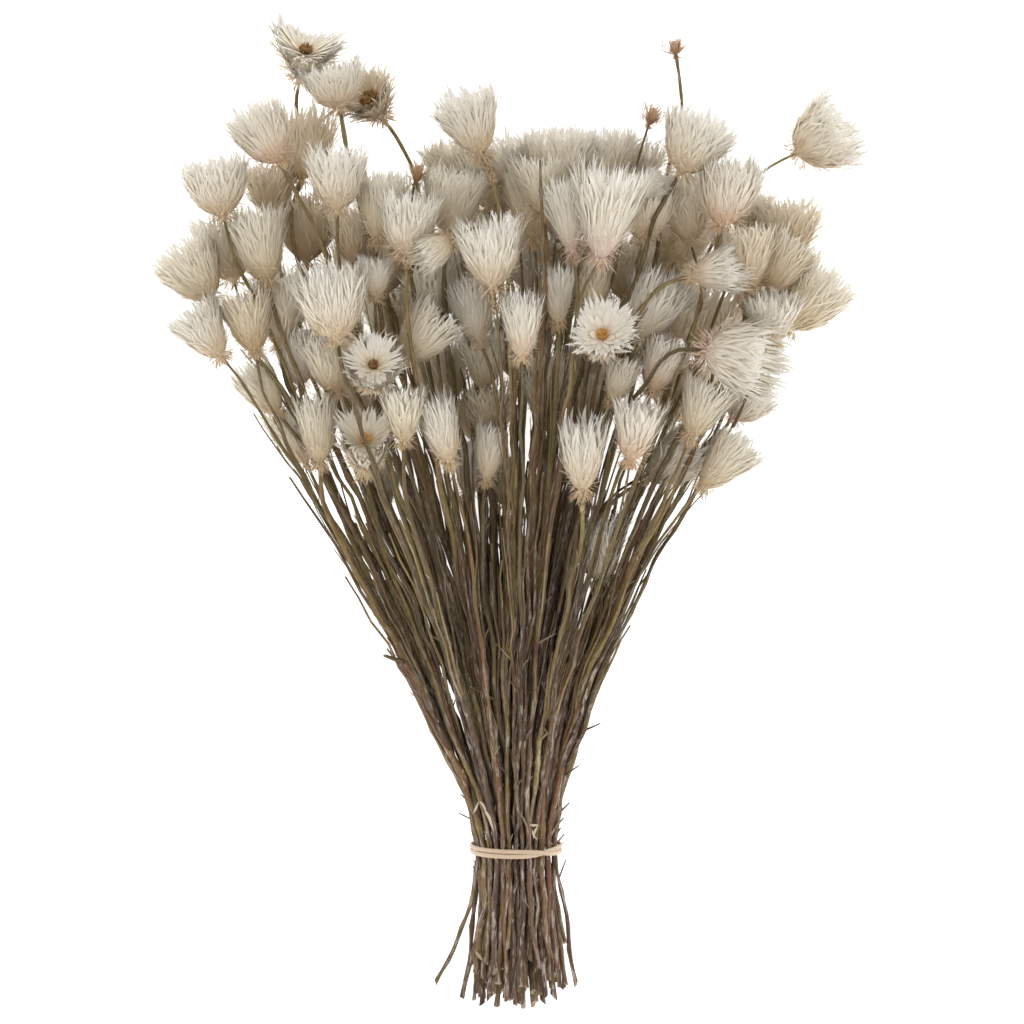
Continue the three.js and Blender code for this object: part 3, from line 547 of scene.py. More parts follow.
def slots_for(count: int) -> list[Slot]:
    """Fill the bundle's ellipse with slots from its middle outwards.

    Args:
        count: How many stems the band holds.

    Returns:
        The slots, from left to right and from the underside up.
    """
    slots = []
    for column in range(-SLOT_COLUMNS, SLOT_COLUMNS + 1):
        for row in range(-SLOT_ROWS, SLOT_ROWS):
            x, z = column * SLOT_PITCH, (row + 0.5) * SLOT_PITCH
            wide = (abs(x) + HUB_REACH) / BUNDLE_HALF_WIDTH
            out = math.hypot(wide, (abs(z) + HUB_REACH) / BUNDLE_HALF_DEPTH)
            slots.append(Slot(column, row, x, z, out))
    slots.sort(key=lambda slot: (slot.out, slot.x, slot.z))
    return sorted(slots[:count], key=lambda slot: (slot.x, slot.z))


@dataclass
class Stems:
    """All stems as one array of points, from each cut end through the band to its foot.

    Attributes:
        heads: The head on each stem, or -1 where it has dropped.
        index: Count that seeds each stem's own draws.
        first: Index of each stem's first point, and one past the last stem's last.
        hold: Index of the point that the band holds, for each stem.
        planned: The points before the stems were bent clear.
    """

    slots: list[Slot]
    heads: Array
    index: Array
    first: Array
    hold: Array
    points: Array
    planned: Array
    radii: Array

    @classmethod
    def laid_out(cls, heads: Heads) -> "Stems":
        """Give every stem its slot and route, then bend the stems clear.

        Args:
            heads: The heads that the stems carry.

        Returns:
            The stems, one for each head and then the bare ones.
        """
        bare = np.array(BARE, float)
        bare_z = midline(bare[:, 1]) + bare[:, 2] * half_depth(bare[:, 0], bare[:, 1])
        feet = np.concatenate([heads.foot, np.column_stack([bare[:, :2], bare_z])])
        axes = np.concatenate([heads.axis, np.tile([0.0, 1.0, 0.0], (len(bare), 1))])
        index = np.concatenate([heads.index, BARE_INDEX + np.arange(len(bare))])
        owner = np.concatenate([np.arange(len(heads.x)), np.full(len(bare), -1)])
        slots = cls.assigned(feet)
        routes = [cls.route(*each) for each in zip(slots, feet, axes, index)]
        first = np.concatenate([[0], np.cumsum([len(points) for points, _, _ in routes])])
        hold = first[:-1] + np.array([hold for _, hold, _ in routes])
        points = np.concatenate([points for points, _, _ in routes])
        radii = np.concatenate([radii for _, _, radii in routes])
        stems = cls(slots, owner, index, first, hold, points, points.copy(), radii)
        stems.clear(heads)
        return stems

    @staticmethod
    def assigned(feet: Array) -> list[Slot]:
        """Give stems slots in the order in which they fan out, so they don't cross.

        Args:
            feet: Where the stems end.

        Returns:
            The slot of each stem.
        """
        slots = slots_for(len(feet))
        away = feet[:, 1] + FAN_POINT
        across = np.argsort(feet[:, 0] / away, kind="stable")
        fan_z = (feet[:, 2] - midline(feet[:, 1])) / away
        taken: list[Slot] = [slots[0]] * len(feet)
        start = 0
        while start < len(slots):
            column = [slot for slot in slots if slot.column == slots[start].column]
            part = sorted(across[start:start + len(column)], key=lambda end: fan_z[end])
            for end, slot in zip(part, column):
                taken[end] = slot
            start += len(column)
        return taken

    @staticmethod
    def route(slot: Slot, foot: Array, axis: Array, index: int) -> tuple[Array, int, Array]:
        """Plan one stem: cut end, band, a cubic curve to the neck, and the foot.

        Args:
            slot: Where the band holds the stem.
            foot: Where the stem ends.
            axis: The direction of its head.
            index: The count that seeds its draws.

        Returns:
            Its points, which of them is held, and its radii.
        """
        held = np.array([slot.x, 0.0, BAND_HEIGHT + slot.z])
        kick = KICKED.get((slot.column, slot.row))
        if kick:
            knee = np.array([kick[0], kick[1], held[2]])
            behind = [np.array([kick[2], kick[3], held[2] + KICK_RISE]), knee, held]
        else:
            cut = mix(BUTT_SHORTEST, BUTT_LONGEST, math.sqrt(draw(index, 5)))
            x = slot.x * BUTT_SPREAD[0] + BUTT_STRAY[0] * (draw(index, 6) - 0.5)
            z = slot.z * BUTT_SPREAD[1] + BUTT_STRAY[1] * (draw(index, 7) - 0.5)
            behind = [np.array([x, -cut, BAND_HEIGHT + z]), held]
        neck = foot - axis * NECK_LENGTH
        span = neck - held
        lean = WAIST[0] if span[0] < 0 else WAIST[1]
        leave = held + span * np.array([lean, 1.0, lean]) * HELD_HANDLE
        arrive = neck - axis * NECK_HANDLE * np.linalg.norm(span)
        t = (np.arange(1, STEM_FREE_POINTS + 1) / (STEM_FREE_POINTS + 1))[:, None]
        free = (
            (1 - t) ** 3 * held + 3 * (1 - t) ** 2 * t * leave
            + 3 * (1 - t) * t**2 * arrive + t**3 * neck
        )
        points = np.vstack([*behind, free, neck, foot])
        hold = len(behind) - 1
        share = (np.arange(len(points)) - hold - 1) / (len(points) - hold - 2)
        radii = mix(STEM_MID_RADIUS, STEM_NECK_RADIUS, share)
        radii[:hold + 1] = STEM_BUTT_RADIUS
        return points, hold, radii

    def clear(self, heads: Heads) -> None:
        """Bend the stems clear of each other and of the blooms that they pass.

        In each step, stretches nearer than their radii allow push each other's ends
        apart, blooms push stretches out of their cores, and each free point eases to
        the mean move of its neighbours, so that bends stay smooth.

        Args:
            heads: The heads that the stems pass.
        """
        last = np.zeros(len(self.points), bool)
        last[self.first[1:] - 1] = True
        stem = np.repeat(np.arange(len(self.slots)), np.diff(self.first))
        start = np.flatnonzero(~last)
        beside = start[start > self.first[stem[start]]]
        own = self.heads[stem[beside]][:, None] == np.arange(len(heads.x))
        core = CORE_SHARE * heads.width + self.radii[beside][:, None] + GAP
        free = np.flatnonzero(~last & (np.arange(len(self.points)) > self.hold[stem]))
        fixed = last.copy()
        fixed[self.hold] = True
        points, radii = self.points, self.radii
        for step in range(CLEAR_STEPS):
            if step % PAIRS_LAST == 0:
                pairs = self.near_pairs(start, stem)
            push = np.zeros_like(points)
            a, b = pairs
            along, other, between = nearest(points[a], points[a + 1], points[b], points[b + 1])
            distance = np.linalg.norm(between, axis=1)
            need = radii[a] + radii[b] + GAP + SLACK
            hit = (distance < need) & (distance >= 1e-6)
            a, b, along, other = a[hit], b[hit], along[hit, None], other[hit, None]
            share = ((need - distance)[hit] / distance[hit] * STEM_PUSH)[:, None]
            between = between[hit] * share
            for ends, part in ((a, 1 - along), (a + 1, along), (b, other - 1), (b + 1, -other)):
                np.add.at(push, ends, between * part)

            along = points[beside + 1] - points[beside]
            offset = heads.centre[None] - points[beside][:, None]
            share = (offset * along[:, None]).sum(-1) / (along * along).sum(-1)[:, None]
            share = np.clip(share, 0, 1)[..., None]
            offset = along[:, None] * share - offset
            distance = np.linalg.norm(offset, axis=-1)
            hit = (distance < core) & (distance >= 1e-6) & ~own
            scale = np.where(hit, (core - distance) / np.maximum(distance, 1e-6), 0.0)
            offset = offset * (scale * BLOOM_PUSH)[..., None]
            np.add.at(push, beside, (offset * (1 - share)).sum(1))
            np.add.at(push, beside + 1, (offset * share).sum(1))

            ease = STEM_EASE if step < EASE_STEPS else 0.0
            moved = points - self.planned
            push[free] += ((moved[free - 1] + moved[free + 1]) / 2 - moved[free]) * ease
            length = np.linalg.norm(push[free], axis=1, keepdims=True)
            push[free] *= np.minimum(1.0, FARTHEST_STEP / np.maximum(length, 1e-12))
            push[fixed] = 0.0
            points += push
            loose = ~fixed
            points[loose, 2] = np.maximum(points[loose, 2], radii[loose] + STEM_LIFT)
            y = points[loose, 1]
            left, right = -fan_reach(FAN_LEFT, y), fan_reach(FAN_RIGHT, y)
            points[loose, 0] = np.minimum(np.maximum(points[loose, 0], left), right)

    def near_pairs(self, start: Array, stem: Array) -> tuple[Array, Array]:
        """List the pairs of stretches, of different stems, whose grown boxes meet.

        Args:
            start: First points of the stretches.
            stem: The stem that each point is on.

        Returns:
            The first points of both stretches of each pair.
        """
        ends = np.stack([self.points[start], self.points[start + 1]])
        low, high = ends.min(0) - PAIRS_REACH / 2, ends.max(0) + PAIRS_REACH / 2
        meet = (low[:, None] <= high[None]).all(-1) & (high[:, None] >= low[None]).all(-1)
        meet &= stem[start][:, None] != stem[start][None]
        a, b = np.nonzero(np.triu(meet, 1))
        return start[a], start[b]

    def of(self, stem: int) -> tuple[Array, Array, int]:
        """Give one stem's points and radii, and which of its points the band holds."""
        part = slice(self.first[stem], self.first[stem + 1])
        return self.points[part], self.radii[part], self.hold[stem] - self.first[stem]

    def stretches(self) -> tuple[Array, Array]:
        """Give the index of the first point of every stretch, and the stem it is on.

        Returns:
            Both, one entry a stretch.
        """
        inner = np.ones(len(self.points), bool)
        inner[self.first[1:] - 1] = False
        start = np.flatnonzero(inner)
        return start, np.searchsorted(self.first, start, side="right") - 1


def grouped(heads: Heads, stems: Stems) -> dict[str, list[int]]:
    """Join blooms that touch, nearest pairs first, and name the groups as the solids are.

    Args:
        heads: All heads.
        stems: All stems, which bar a link between two blooms.

    Returns:
        The heads of each node, by the node's name.
    """
    count = len(heads.x)
    node = np.arange(count)
    a, b = np.triu_indices(count, 1)
    alike = np.array([heads.kinds[i] is heads.kinds[j] for i, j in zip(a, b)])
    distance = np.linalg.norm(heads.centre[a] - heads.centre[b], axis=1)
    apart = distance - heads.radius[a] - heads.radius[b]
    near = np.flatnonzero(alike & (apart < LINK_LONGEST))
    near = near[np.argsort(apart[near], kind="stable")]
    start, _ = stems.stretches()
    r, s = stems.points[start], stems.points[start + 1]
    nodes = count
    for pair in near:
        if nodes <= BLOOM_NODES:
            break
        i, j = a[pair], b[pair]
        if node[i] == node[j]:
            continue
        if (node == node[i]).sum() + (node == node[j]).sum() > MOST_IN_NODE:
            continue
        p, q = heads.centre[i], heads.centre[j]
        along = np.clip((heads.centre - p) @ (q - p) / ((q - p) @ (q - p)), 0, 1)
        off = np.linalg.norm(p + along[:, None] * (q - p) - heads.centre, axis=1)
        barred = off < heads.radius * LINK_CLEAR
        barred[[i, j]] = False
        _, _, between = nearest(np.broadcast_to(p, r.shape), np.broadcast_to(q, r.shape), r, s)
        room = stems.radii[start] + LINK_RADIUS + GAP
        if barred.any() or (np.linalg.norm(between, axis=1) <= room).any():
            continue
        node[node == node[j]] = node[i]
        nodes -= 1
    groups: dict[str, list[int]] = {}
    numbers = {Kind.BLOOM: 0, Kind.SPENT: 0}
    order = sorted(set(node), key=lambda n: (-heads.foot[n, 1], heads.foot[n, 0]))
    for n in order:
        kind = heads.kinds[n]
        numbers[kind] += 1
        stem = "blooms" if kind is Kind.BLOOM else "spent_head"
        groups[f"{stem}_{numbers[kind]:02d}"] = list(np.flatnonzero(node == n))
    return groups


# ------------------------------------------------------------------ surfaces and meshes


@dataclass
class Surface:
    """A part of a piece: its points in millimetres, its faces and its painted values.

    Attributes:
        place: For each point: share of the whole's length, share of its own, and stray.
        grain: For each point: millimetres across, a number of its own, and millimetres along.
        finish: Name of the material.
        rim: For each point: 0, or the number of the sharp line it is on, or RIM_END.
    """

    points: Array
    quads: Array
    triangles: Array
    place: Array
    grain: Array
    finish: str
    rim: Array


@dataclass(frozen=True)
class Setting:
    """Where the layout lies in the frame.

    Attributes:
        shift: Where the layout's origin comes, in millimetres.
    """

    shift: Triple

    @classmethod
    def from_band(cls) -> "Setting":
        """Find the shift from the elastic band's box, whose middle is the origin's.

        Returns:
            The setting.
        """
        low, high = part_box("elastic_band")
        middle = (np.array(low) + np.array(high)) / 2 / MM
        return cls((middle[0], middle[1], middle[2] - BAND_HEIGHT))


@dataclass(frozen=True)
class Layout:
    """The whole bunch laid out, which every piece is built from."""

    heads: Heads
    stems: Stems
    setting: Setting

    @classmethod
    def planned(cls) -> "Layout":
        """Lay out the heads, then the stems that carry them."""
        heads = Heads.laid_out()
        return cls(heads, Stems.laid_out(heads), Setting.from_band())


def linked(name: str, data: bpy.types.ID) -> bpy.types.Object:
    """Make an object of some data and link it to the scene.

    Args:
        name: The object's name.
        data: Its mesh, light or camera.

    Returns:
        The object.
    """
    made = bpy.data.objects.new(name, data)
    bpy.context.scene.collection.objects.link(made)
    return made


def mesh_object(name: str, surfaces: list[Surface], setting: Setting) -> bpy.types.Object:
    """Put surfaces into one smooth-shaded mesh object that sits at the origin.

    Args:
        name: The piece's name.
        surfaces: What it is made of.
        setting: Where the layout lies in the frame.

    Returns:
        The object, linked to the scene, with its materials.
    """
    starts = np.cumsum([0] + [len(s.points) for s in surfaces])
    points = (np.concatenate([s.points for s in surfaces]) + np.array(setting.shift)) * MM
    names = sorted({s.finish for s in surfaces})
    quads = np.concatenate([s.quads + at for s, at in zip(surfaces, starts)])
    triangles = np.concatenate([s.triangles + at for s, at in zip(surfaces, starts)])
    slot = [names.index(s.finish) for s in surfaces]
    slots = np.concatenate([
        np.repeat(slot, [len(s.quads) for s in surfaces]),
        np.repeat(slot, [len(s.triangles) for s in surfaces]),
    ])
    loops = np.concatenate([quads.ravel(), triangles.ravel()]).astype(np.int32)
    first = np.concatenate([
        4 * np.arange(len(quads)), 4 * len(quads) + 3 * np.arange(len(triangles)),
    ]).astype(np.int32)
    mesh = bpy.data.meshes.new(name)
    mesh.vertices.add(len(points))
    mesh.vertices.foreach_set("co", points.astype(np.float32).ravel())
    mesh.loops.add(len(loops))
    mesh.loops.foreach_set("vertex_index", loops)
    mesh.polygons.add(len(first))
    mesh.polygons.foreach_set("loop_start", first)
    mesh.polygons.foreach_set("material_index", slots.astype(np.int32))
    mesh.polygons.foreach_set("use_smooth", np.ones(len(first), bool))
    mesh.update(calc_edges=True)
    for label in ("place", "grain"):
        values = np.concatenate([getattr(s, label) for s in surfaces]).astype(np.float32)
        attribute = mesh.attributes.new(label, "FLOAT_VECTOR", "POINT")
        attribute.data.foreach_set("vector", values.ravel())
    for material in names:
        mesh.materials.append(bpy.data.materials[material])
    rim = np.concatenate([s.rim for s in surfaces])
    pairs = np.empty(2 * len(mesh.edges), np.int32)
    mesh.edges.foreach_get("vertices", pairs)
    ends = rim[pairs.reshape(-1, 2)]
    low, high = ends.min(axis=1), ends.max(axis=1)
    sharp = (low > 0) & ((low == high) | (high == RIM_END)) & (low < RIM_END)
    mesh.attributes.new("sharp_edge", "BOOLEAN", "EDGE").data.foreach_set("value", sharp)
    return linked(name, mesh)


def tube_faces(rings: int, sides: int) -> tuple[Array, Array]:
    """Number the faces of a tube that is closed by a point at each end.

    Point 0 is the first end, then come the rings, and the last point is the other end.

    Args:
        rings: How many rings the tube has.
        sides: How many points a ring has, anticlockwise seen from the tube's far end.

    Returns:
        The quads between rings and the triangles of both ends.
    """
    side = np.arange(sides)
    after = (side + 1) % sides
    ring = 1 + sides * np.arange(rings - 1)[:, None]
    quads = np.stack([ring + side, ring + after, ring + sides + after, ring + sides + side], -1)
    top = 1 + sides * (rings - 1)
    start = np.stack([0 * side, 1 + after, 1 + side], -1)
    end = np.stack([top + side, top + after, 0 * side + top + sides], -1)
    return quads.reshape(-1, 4), np.concatenate([start, end])


def repeated(faces: Array, points_each: int, copies: int) -> Array:
    """Number the faces of many copies of one shape that lie after each other."""
    shift = points_each * np.arange(copies)[:, None, None]
    return (faces[None] + shift).reshape(-1, faces.shape[1])


@dataclass
class Blades:
    """Many thin pointed blades, each a bent path with a low three-cornered section.

    A blade's path has a base point, rings and a tip point. Its section has two edges and
    a rib raised on the outer side, so a blade is one closed body with sharp edges.

    Attributes:
        path: Middle points, one row a blade and one column a step from base to tip.
        outward: Unit vectors that the blades' outer sides face, shaped like path.
        roll: How far each blade is turned about its path at the tip, in radians.
        rib: Height of the rib over the edges, as a share of the width.
    """

    path: Array
    outward: Array
    width: Array
    roll: Array
    rib: float = 0.11

    def surface(self, steps: Array, share: Array, stray: Array, finish: str) -> Surface:
        """Carry the section along the paths.

        The half width at a step t is sin(πt^0.85)^0.8 of the greatest half width, which
        is widest near the middle and runs out to a long point.

        Args:
            steps: Shares of a blade's length at its base, rings and tip.
            share: Share of the whole head's height at each point of the paths.
            stray: One number from 0 to 1 for each blade, for its shade.
            finish: Name of the material.

        Returns:
            The surface of all blades.
        """
        count, columns, _ = self.path.shape
        along = unit(np.gradient(self.path, axis=1))
        normal = unit(self.outward - (self.outward * along).sum(-1, keepdims=True) * along)
        side = np.cross(normal, along)
        angle = (self.roll[:, None] * steps)[..., None]
        normal, side = (
            normal * np.cos(angle) + side * np.sin(angle),
            side * np.cos(angle) - normal * np.sin(angle),
        )
        shape = np.sin(np.pi * np.clip(steps, 0, 1) ** 0.85).clip(0) ** 0.8
        half = (self.width[:, None] * shape / 2)[..., None]
        ring = np.stack([
            self.path + side * half,
            self.path + normal * (half * 2 * self.rib),
            self.path - side * half,
        ], axis=2)[:, 1:-1]
        points = np.concatenate([
            self.path[:, :1], ring.reshape(count, -1, 3), self.path[:, -1:],
        ], axis=1)
        quads, triangles = tube_faces(columns - 2, 3)
        length = np.linalg.norm(np.diff(self.path, axis=1), axis=2).sum(1)

        def spread(values: Array) -> Array:
            """Repeat a value per step for the three points of each ring."""
            middle = np.repeat(values[:, 1:-1], 3, axis=1)
            return np.concatenate([values[:, :1], middle, values[:, -1:]], axis=1)

        t = np.broadcast_to(steps, (count, columns))
        own = np.broadcast_to(stray[:, None], (count, columns))
        place = np.stack([spread(share), spread(t), spread(own)], -1)
        across = np.zeros((count, points.shape[1]))
        reach = half[:, 1:-1, 0]
        across[:, 1:-1:3] = reach
        across[:, 3:-1:3] = -reach
        grain = np.stack([across, spread(own * 97.0), spread(t * length[:, None])], -1)
        each = points.shape[1]
        rim = np.tile(np.array([RIM_END, *([1, 0, 2] * (columns - 2)), RIM_END]), count)
        return Surface(
            points.reshape(-1, 3), repeated(quads, each, count), repeated(triangles, each, count),
            place.reshape(-1, 3), grain.reshape(-1, 3), finish, rim,
        )


# ------------------------------------------------------------------ blooms


@dataclass
class Crowding:
    """How a head's bracts give way to what lies beside it.

    Attributes:
        way, reach: Unit vectors to each neighbour, and how far the head may reach that way.
        line: Direction of a stem's stretch, or zero where the neighbour is a bloom.
        give: How quickly a limit is lost beside a stem, per millimetre squared.
        overlap: How far beyond a limit bracts may reach, as a share of it.
        soft: Length over which a bract slows down before its limit.
        aside_least: Least cosine towards a neighbour that counts.
    """

    centre: Array
    way: Array
    reach: Array
    line: Array
    give: Array
    overlap: float = 1.22
    soft: float = 2.2
    aside_least: float = 0.05
    far_most: float = 1e3
    middle_least: float = 0.3

    @classmethod
    def around(cls, head: int, layout: Layout, node: list[int]) -> "Crowding":
        """Collect the blooms of other nodes and the stems that press on a head.

        Args:
            head: The head.
            layout: The bunch.
            node: The heads of the head's own node, which don't press on it.

        Returns:
            The limits that its neighbours set.
        """
        heads, stems = layout.heads, layout.stems
        centre = heads.centre[head]
        others = np.setdiff1d(np.arange(len(heads.x)), node)
        way = heads.centre[others] - centre
        distance = np.linalg.norm(way, axis=1)
        near = distance <= heads.height[head] + heads.height[others]
        others, way, distance = others[near], way[near], distance[near]
        share = heads.radius[head] / (heads.radius[head] + heads.radius[others])
        reach = distance * share - GAP / 2
        start, stem = stems.stretches()
        p, along = stems.points[start], stems.points[start + 1] - stems.points[start]
        t = np.clip(((centre - p) * along).sum(1) / (along * along).sum(1), 0, 1)
        aside = p + along * t[:, None] - centre
        far = np.linalg.norm(aside, axis=1)
        close = (far <= LIMIT_REACH * heads.height[head]) & (stems.heads[stem] != head)
        aside, far, along = aside[close], far[close], along[close]
        thick = stems.radii[start][close]
        give = STEM_GIVE / heads.width[head] ** 2
        return cls(
            centre,
            np.concatenate([way / distance[:, None], aside / far[:, None]]),
            np.concatenate([reach, far - thick - GAP]),
            np.concatenate([np.zeros_like(way), unit(along)]),
            np.concatenate([np.zeros(len(way)), np.full(len(far), give)]),
        )

    def press(self, points: Array) -> Array:
        """Draw points in towards the centre until they keep inside every limit.

        A point's allowed length is the least reach over the cosine towards each
        neighbour. Beside a stem it grows with the square of the distance from the
        stem's line. Past it a point slows down smoothly and never gets far beyond.

        Args:
            points: Points of the head's bracts, one row a point.

        Returns:
            The points where they end up.
        """
        offset = points - self.centre
        length = np.linalg.norm(offset, axis=1)
        aim = offset / np.maximum(length, 1e-9)[:, None]
        if len(self.way):
            along = aim @ self.way.T
            least = self.aside_least
            allowed = np.where(along > least, self.reach / np.maximum(along, least), np.inf)
            hit = aim[:, None] * np.minimum(allowed, self.far_most)[..., None]
            hit = hit - self.way * self.reach[:, None]
            aside = hit - (hit * self.line).sum(-1, keepdims=True) * self.line
            allowed *= 1 + self.give * (aside * aside).sum(-1)
            limit = allowed.min(axis=1) * self.overlap
            start = limit - self.soft
            past = np.maximum(length - start, 0.0) / (2 * self.soft)
            slowed = start + 2 * self.soft * (1 - np.exp(-past))
            length = np.where(length > start, slowed, length)
        pressed = self.centre + aim * np.maximum(length, self.middle_least)[:, None]
        above = FLOOR + 1.0
        low = FLOOR + np.exp(np.minimum(pressed[:, 2] - above, 0.0))
        pressed[:, 2] = np.where(pressed[:, 2] < above, low, pressed[:, 2])
        return pressed


class Disc(Enum):
    """What the middle of an open bloom shows."""

    NONE = "none"
    YELLOW = "disc_yellow"
    BROWN = "disc_brown"


@dataclass(frozen=True)
class Character:
    """What sets one bloom apart from the rest.

    Attributes:
        split, bow: How far its rim dips between left and right, and in front.
        broad, seeded: How much wider than usual its bracts and its disc are.
        neck: Least length of its scaly neck, as a share of its height.
        spread: Share of its opening that its form takes up.
    """

    disc: Disc = Disc.NONE
    split: float = 0.0
    bow: float = 0.0
    broad: float = 1.0
    neck: float = 0.0
    spread: float = 1.0
    seeded: float = 1.0


PLAIN = Character()


@dataclass
class Bloom:
    """One strawflower head: a cup of many papery bracts on a small core.

    A count is how many bracts that layer of a full head has.

    Attributes:
        open: How far it has opened, 0 to 1.
        index: Count that seeds its draws.
        fullness: Share of the usual number of bracts.
        plump: Girth of the core, as a share of the cup.
        loose: How much farther than usual its stray bracts stand off.
        dome: How flat the core's dome is: the power that its height goes by.
        rim_kept: Share of the height that an open head's rim keeps.
        core_foot: Height at which the core starts, as a share of the head's.
    """

    foot: Array
    axis: Array
    width: float
    height: float
    open: float
    index: int
    tint_and_shade: TintAndShade
    own: Character = PLAIN
    fullness: float = 1.0
    plump: float = 0.96
    loose: float = 1.0
    scale_count: int = 340
    crown_count: int = 230
    heart_count: int = 64
    cap_count: int = 60
    wisp_count: int = 110
    fringe_count: int = 190
    collar_count: int = 50
    dome: float = 9.0
    rim_kept: float = 0.84
    core_sides: int = 16
    core_rings: int = 8
    core_foot: float = 0.02
    floret_count: int = 70
    disc_radius: float = 0.09
    floret_radius: float = 0.012

    def spiral(self, count: int, salt: int, fewer: float = 1.0) -> tuple[Array, Array, Array]:
        """Number bracts along a golden-angle spiral.

        Args:
            count: How many bracts a full head has.
            salt: Where the layer's seeds start.
            fewer: What the count is divided by.

        Returns:
            Seeds, shares from 0 to 1 along the spiral, and angles round the axis.
        """
        k = np.arange(round(count * self.fullness / fewer))
        seed = self.index * SEEDS_A_HEAD + salt + k
        return seed, (k + 0.5) / len(k), k * GOLDEN_TURN + 0.3 * draw(seed, 24)

    def frame(self) -> tuple[Array, Array]:
        """Give two unit vectors square to the axis and to each other."""
        side = unit(np.cross([0.0, 0.0, 1.0], self.axis))
        return side, np.cross(self.axis, side)

    def lobes(self, turn: Array, salt: float) -> Array:
        """Give a slow wave round the head from -1 to 1: sines of 2, 3 and 5 lobes.

        Args:
            turn: Angles round the axis.
            salt: The number that seeds the wave.

        Returns:
            The wave at each angle.
        """
        phase = DRAWN_PHASE * draw(self.index * 5 + np.arange(3), salt)
        waves = [np.sin(n * turn + p) for n, p in zip((2, 3, 5), phase)]
        return 0.5 * waves[0] + 0.3 * waves[1] + 0.2 * waves[2]

    def cup(self, h: Array) -> Array:
        """Radius of the cup at a share h of its height, as a share of its width.

        A closed head swells as 0.49 (1 - (1 - h)^k)^0.66, with k from 2.8 to 4.4, and
        flares a little above its middle. An open one spreads as a bowl, as the 0.8th power
        of the height.

        Args:
            h: Shares of the head's height.

        Returns:
            The radii.
        """
        up = np.clip(h, 0.0, 1.0)
        closed = 0.49 * (1 - (1 - up) ** mix(2.8, 4.4, float(draw(self.index, 10)))) ** 0.66
        bowl = 0.48 * np.clip(h / 0.8, 0, 2) ** 0.8
        flare = mix(0.0, 0.7, float(draw(self.index, 11)) ** 1.5)
        swell = (1 + flare * np.maximum(h - 0.4, 0)) / (1 + 0.35 * flare)
        return 0.015 + mix(closed, bowl, self.open**2) * swell

    def rim(self, turn: Array) -> Array:
        """Give the share of its height that the rim keeps at an angle round the axis.

        Args:
            turn: Angles round the axis.

        Returns:
            The share at each angle.
        """
        between, front = (1 - np.cos(2 * turn)) / 2, (1 + np.sin(turn)) / 2
        left, right = np.clip(np.cos(turn), 0, 1), np.clip(-np.cos(turn), 0, 1)
        dip = between - 0.9 * left**6 - 0.4 * right**4
        return 1 - self.own.split * dip - self.own.bow * front**2

    def stand(self, r: Array, h: Array, turn: Array) -> Array:
        """Turn radius, height and angle round the axis into points.

        Args:
            r: Radii, as shares of the width.
            h: Heights, as shares of the height.
            turn: Angles round the axis.

        Returns:
            The points.
        """
        side, front = self.frame()
        out = np.cos(turn)[..., None] * side + np.sin(turn)[..., None] * front
        up = self.axis * (h * self.height)[..., None]
        return self.foot + up + out * (r * self.width)[..., None]

    def blades(self, r: Array, h: Array, turn: Array, width: Array, roll: Array,
               seed: Array, pale: float = 1.0, rib: float = 0.08) -> Surface:
        """Make blades along meridian paths, facing square to them and away from the axis.

        Args:
            r: Radii along each path, as shares of the head's width.
            h: Heights along each path, as shares of the head's height.
            turn: Angles round the axis along each path.
            width: Width of each blade in millimetres.
            roll: Roll of each blade at its tip.
            seed: A number for each blade.
            pale: How far the blades' tips take the tips' paler colour.
            rib: Height of the rib over the edges, as a share of the width.

        Returns:
            The blades' surface.
        """
        side, front = self.frame()
        r = r * (1 + 0.1 * self.lobes(turn, 12) * smooth(h, 0.2, 0.9))
        out = np.cos(turn)[..., None] * side + np.sin(turn)[..., None] * front
        rise = np.gradient(h * self.height, axis=1)[..., None]
        spread = np.gradient(r * self.width, axis=1)[..., None]
        outward = unit(out * rise - self.axis * spread)
        made = Blades(self.stand(r, h, turn), outward, width, roll, rib)
        steps = LONG_BRACT if r.shape[1] == len(LONG_BRACT) else SHORT_BRACT
        stray = mix(draw(seed, 27), draw(self.index, 29), 0.4)
        surface = made.surface(steps, h, stray, self.tint_and_shade.value)
        surface.place[:, 1] *= pale
        return surface

    def scales(self) -> Surface:
        """Make the fine bracts that clothe the cup, from its base to just under its rim.

        Each follows the cup, and its tip leaves it as the square of the way along.

        Returns:
            The bracts.
        """
        seed, s, turn = self.spiral(self.scale_count, 0, self.own.broad)
        t = SHORT_BRACT
        tip = mix(0.1, 0.92, s**0.9) + strayed(seed, 21, 0.08)
        tip *= mix(1.0, 0.85, self.open) * self.rim(turn)
        root = np.maximum(tip - mix(0.22, 0.36, draw(seed, 22)), -0.02)
        h = stepped(root, tip, t)
        lift = mix(0.0, 0.05, draw(seed, 23) ** 2.5) * mix(0.4, 1.8, s)
        r = self.cup(h) * 0.98 + lift[:, None] * t**2
        turn = turn[:, None] + strayed(seed, 25, 0.25)[:, None] * t**2
        width = self.width * mix(0.036, 0.058, draw(seed, 26)) * self.own.broad
        return self.blades(r, h, turn, width, strayed(seed, 28, 0.3), seed, 0.7, 0.035)

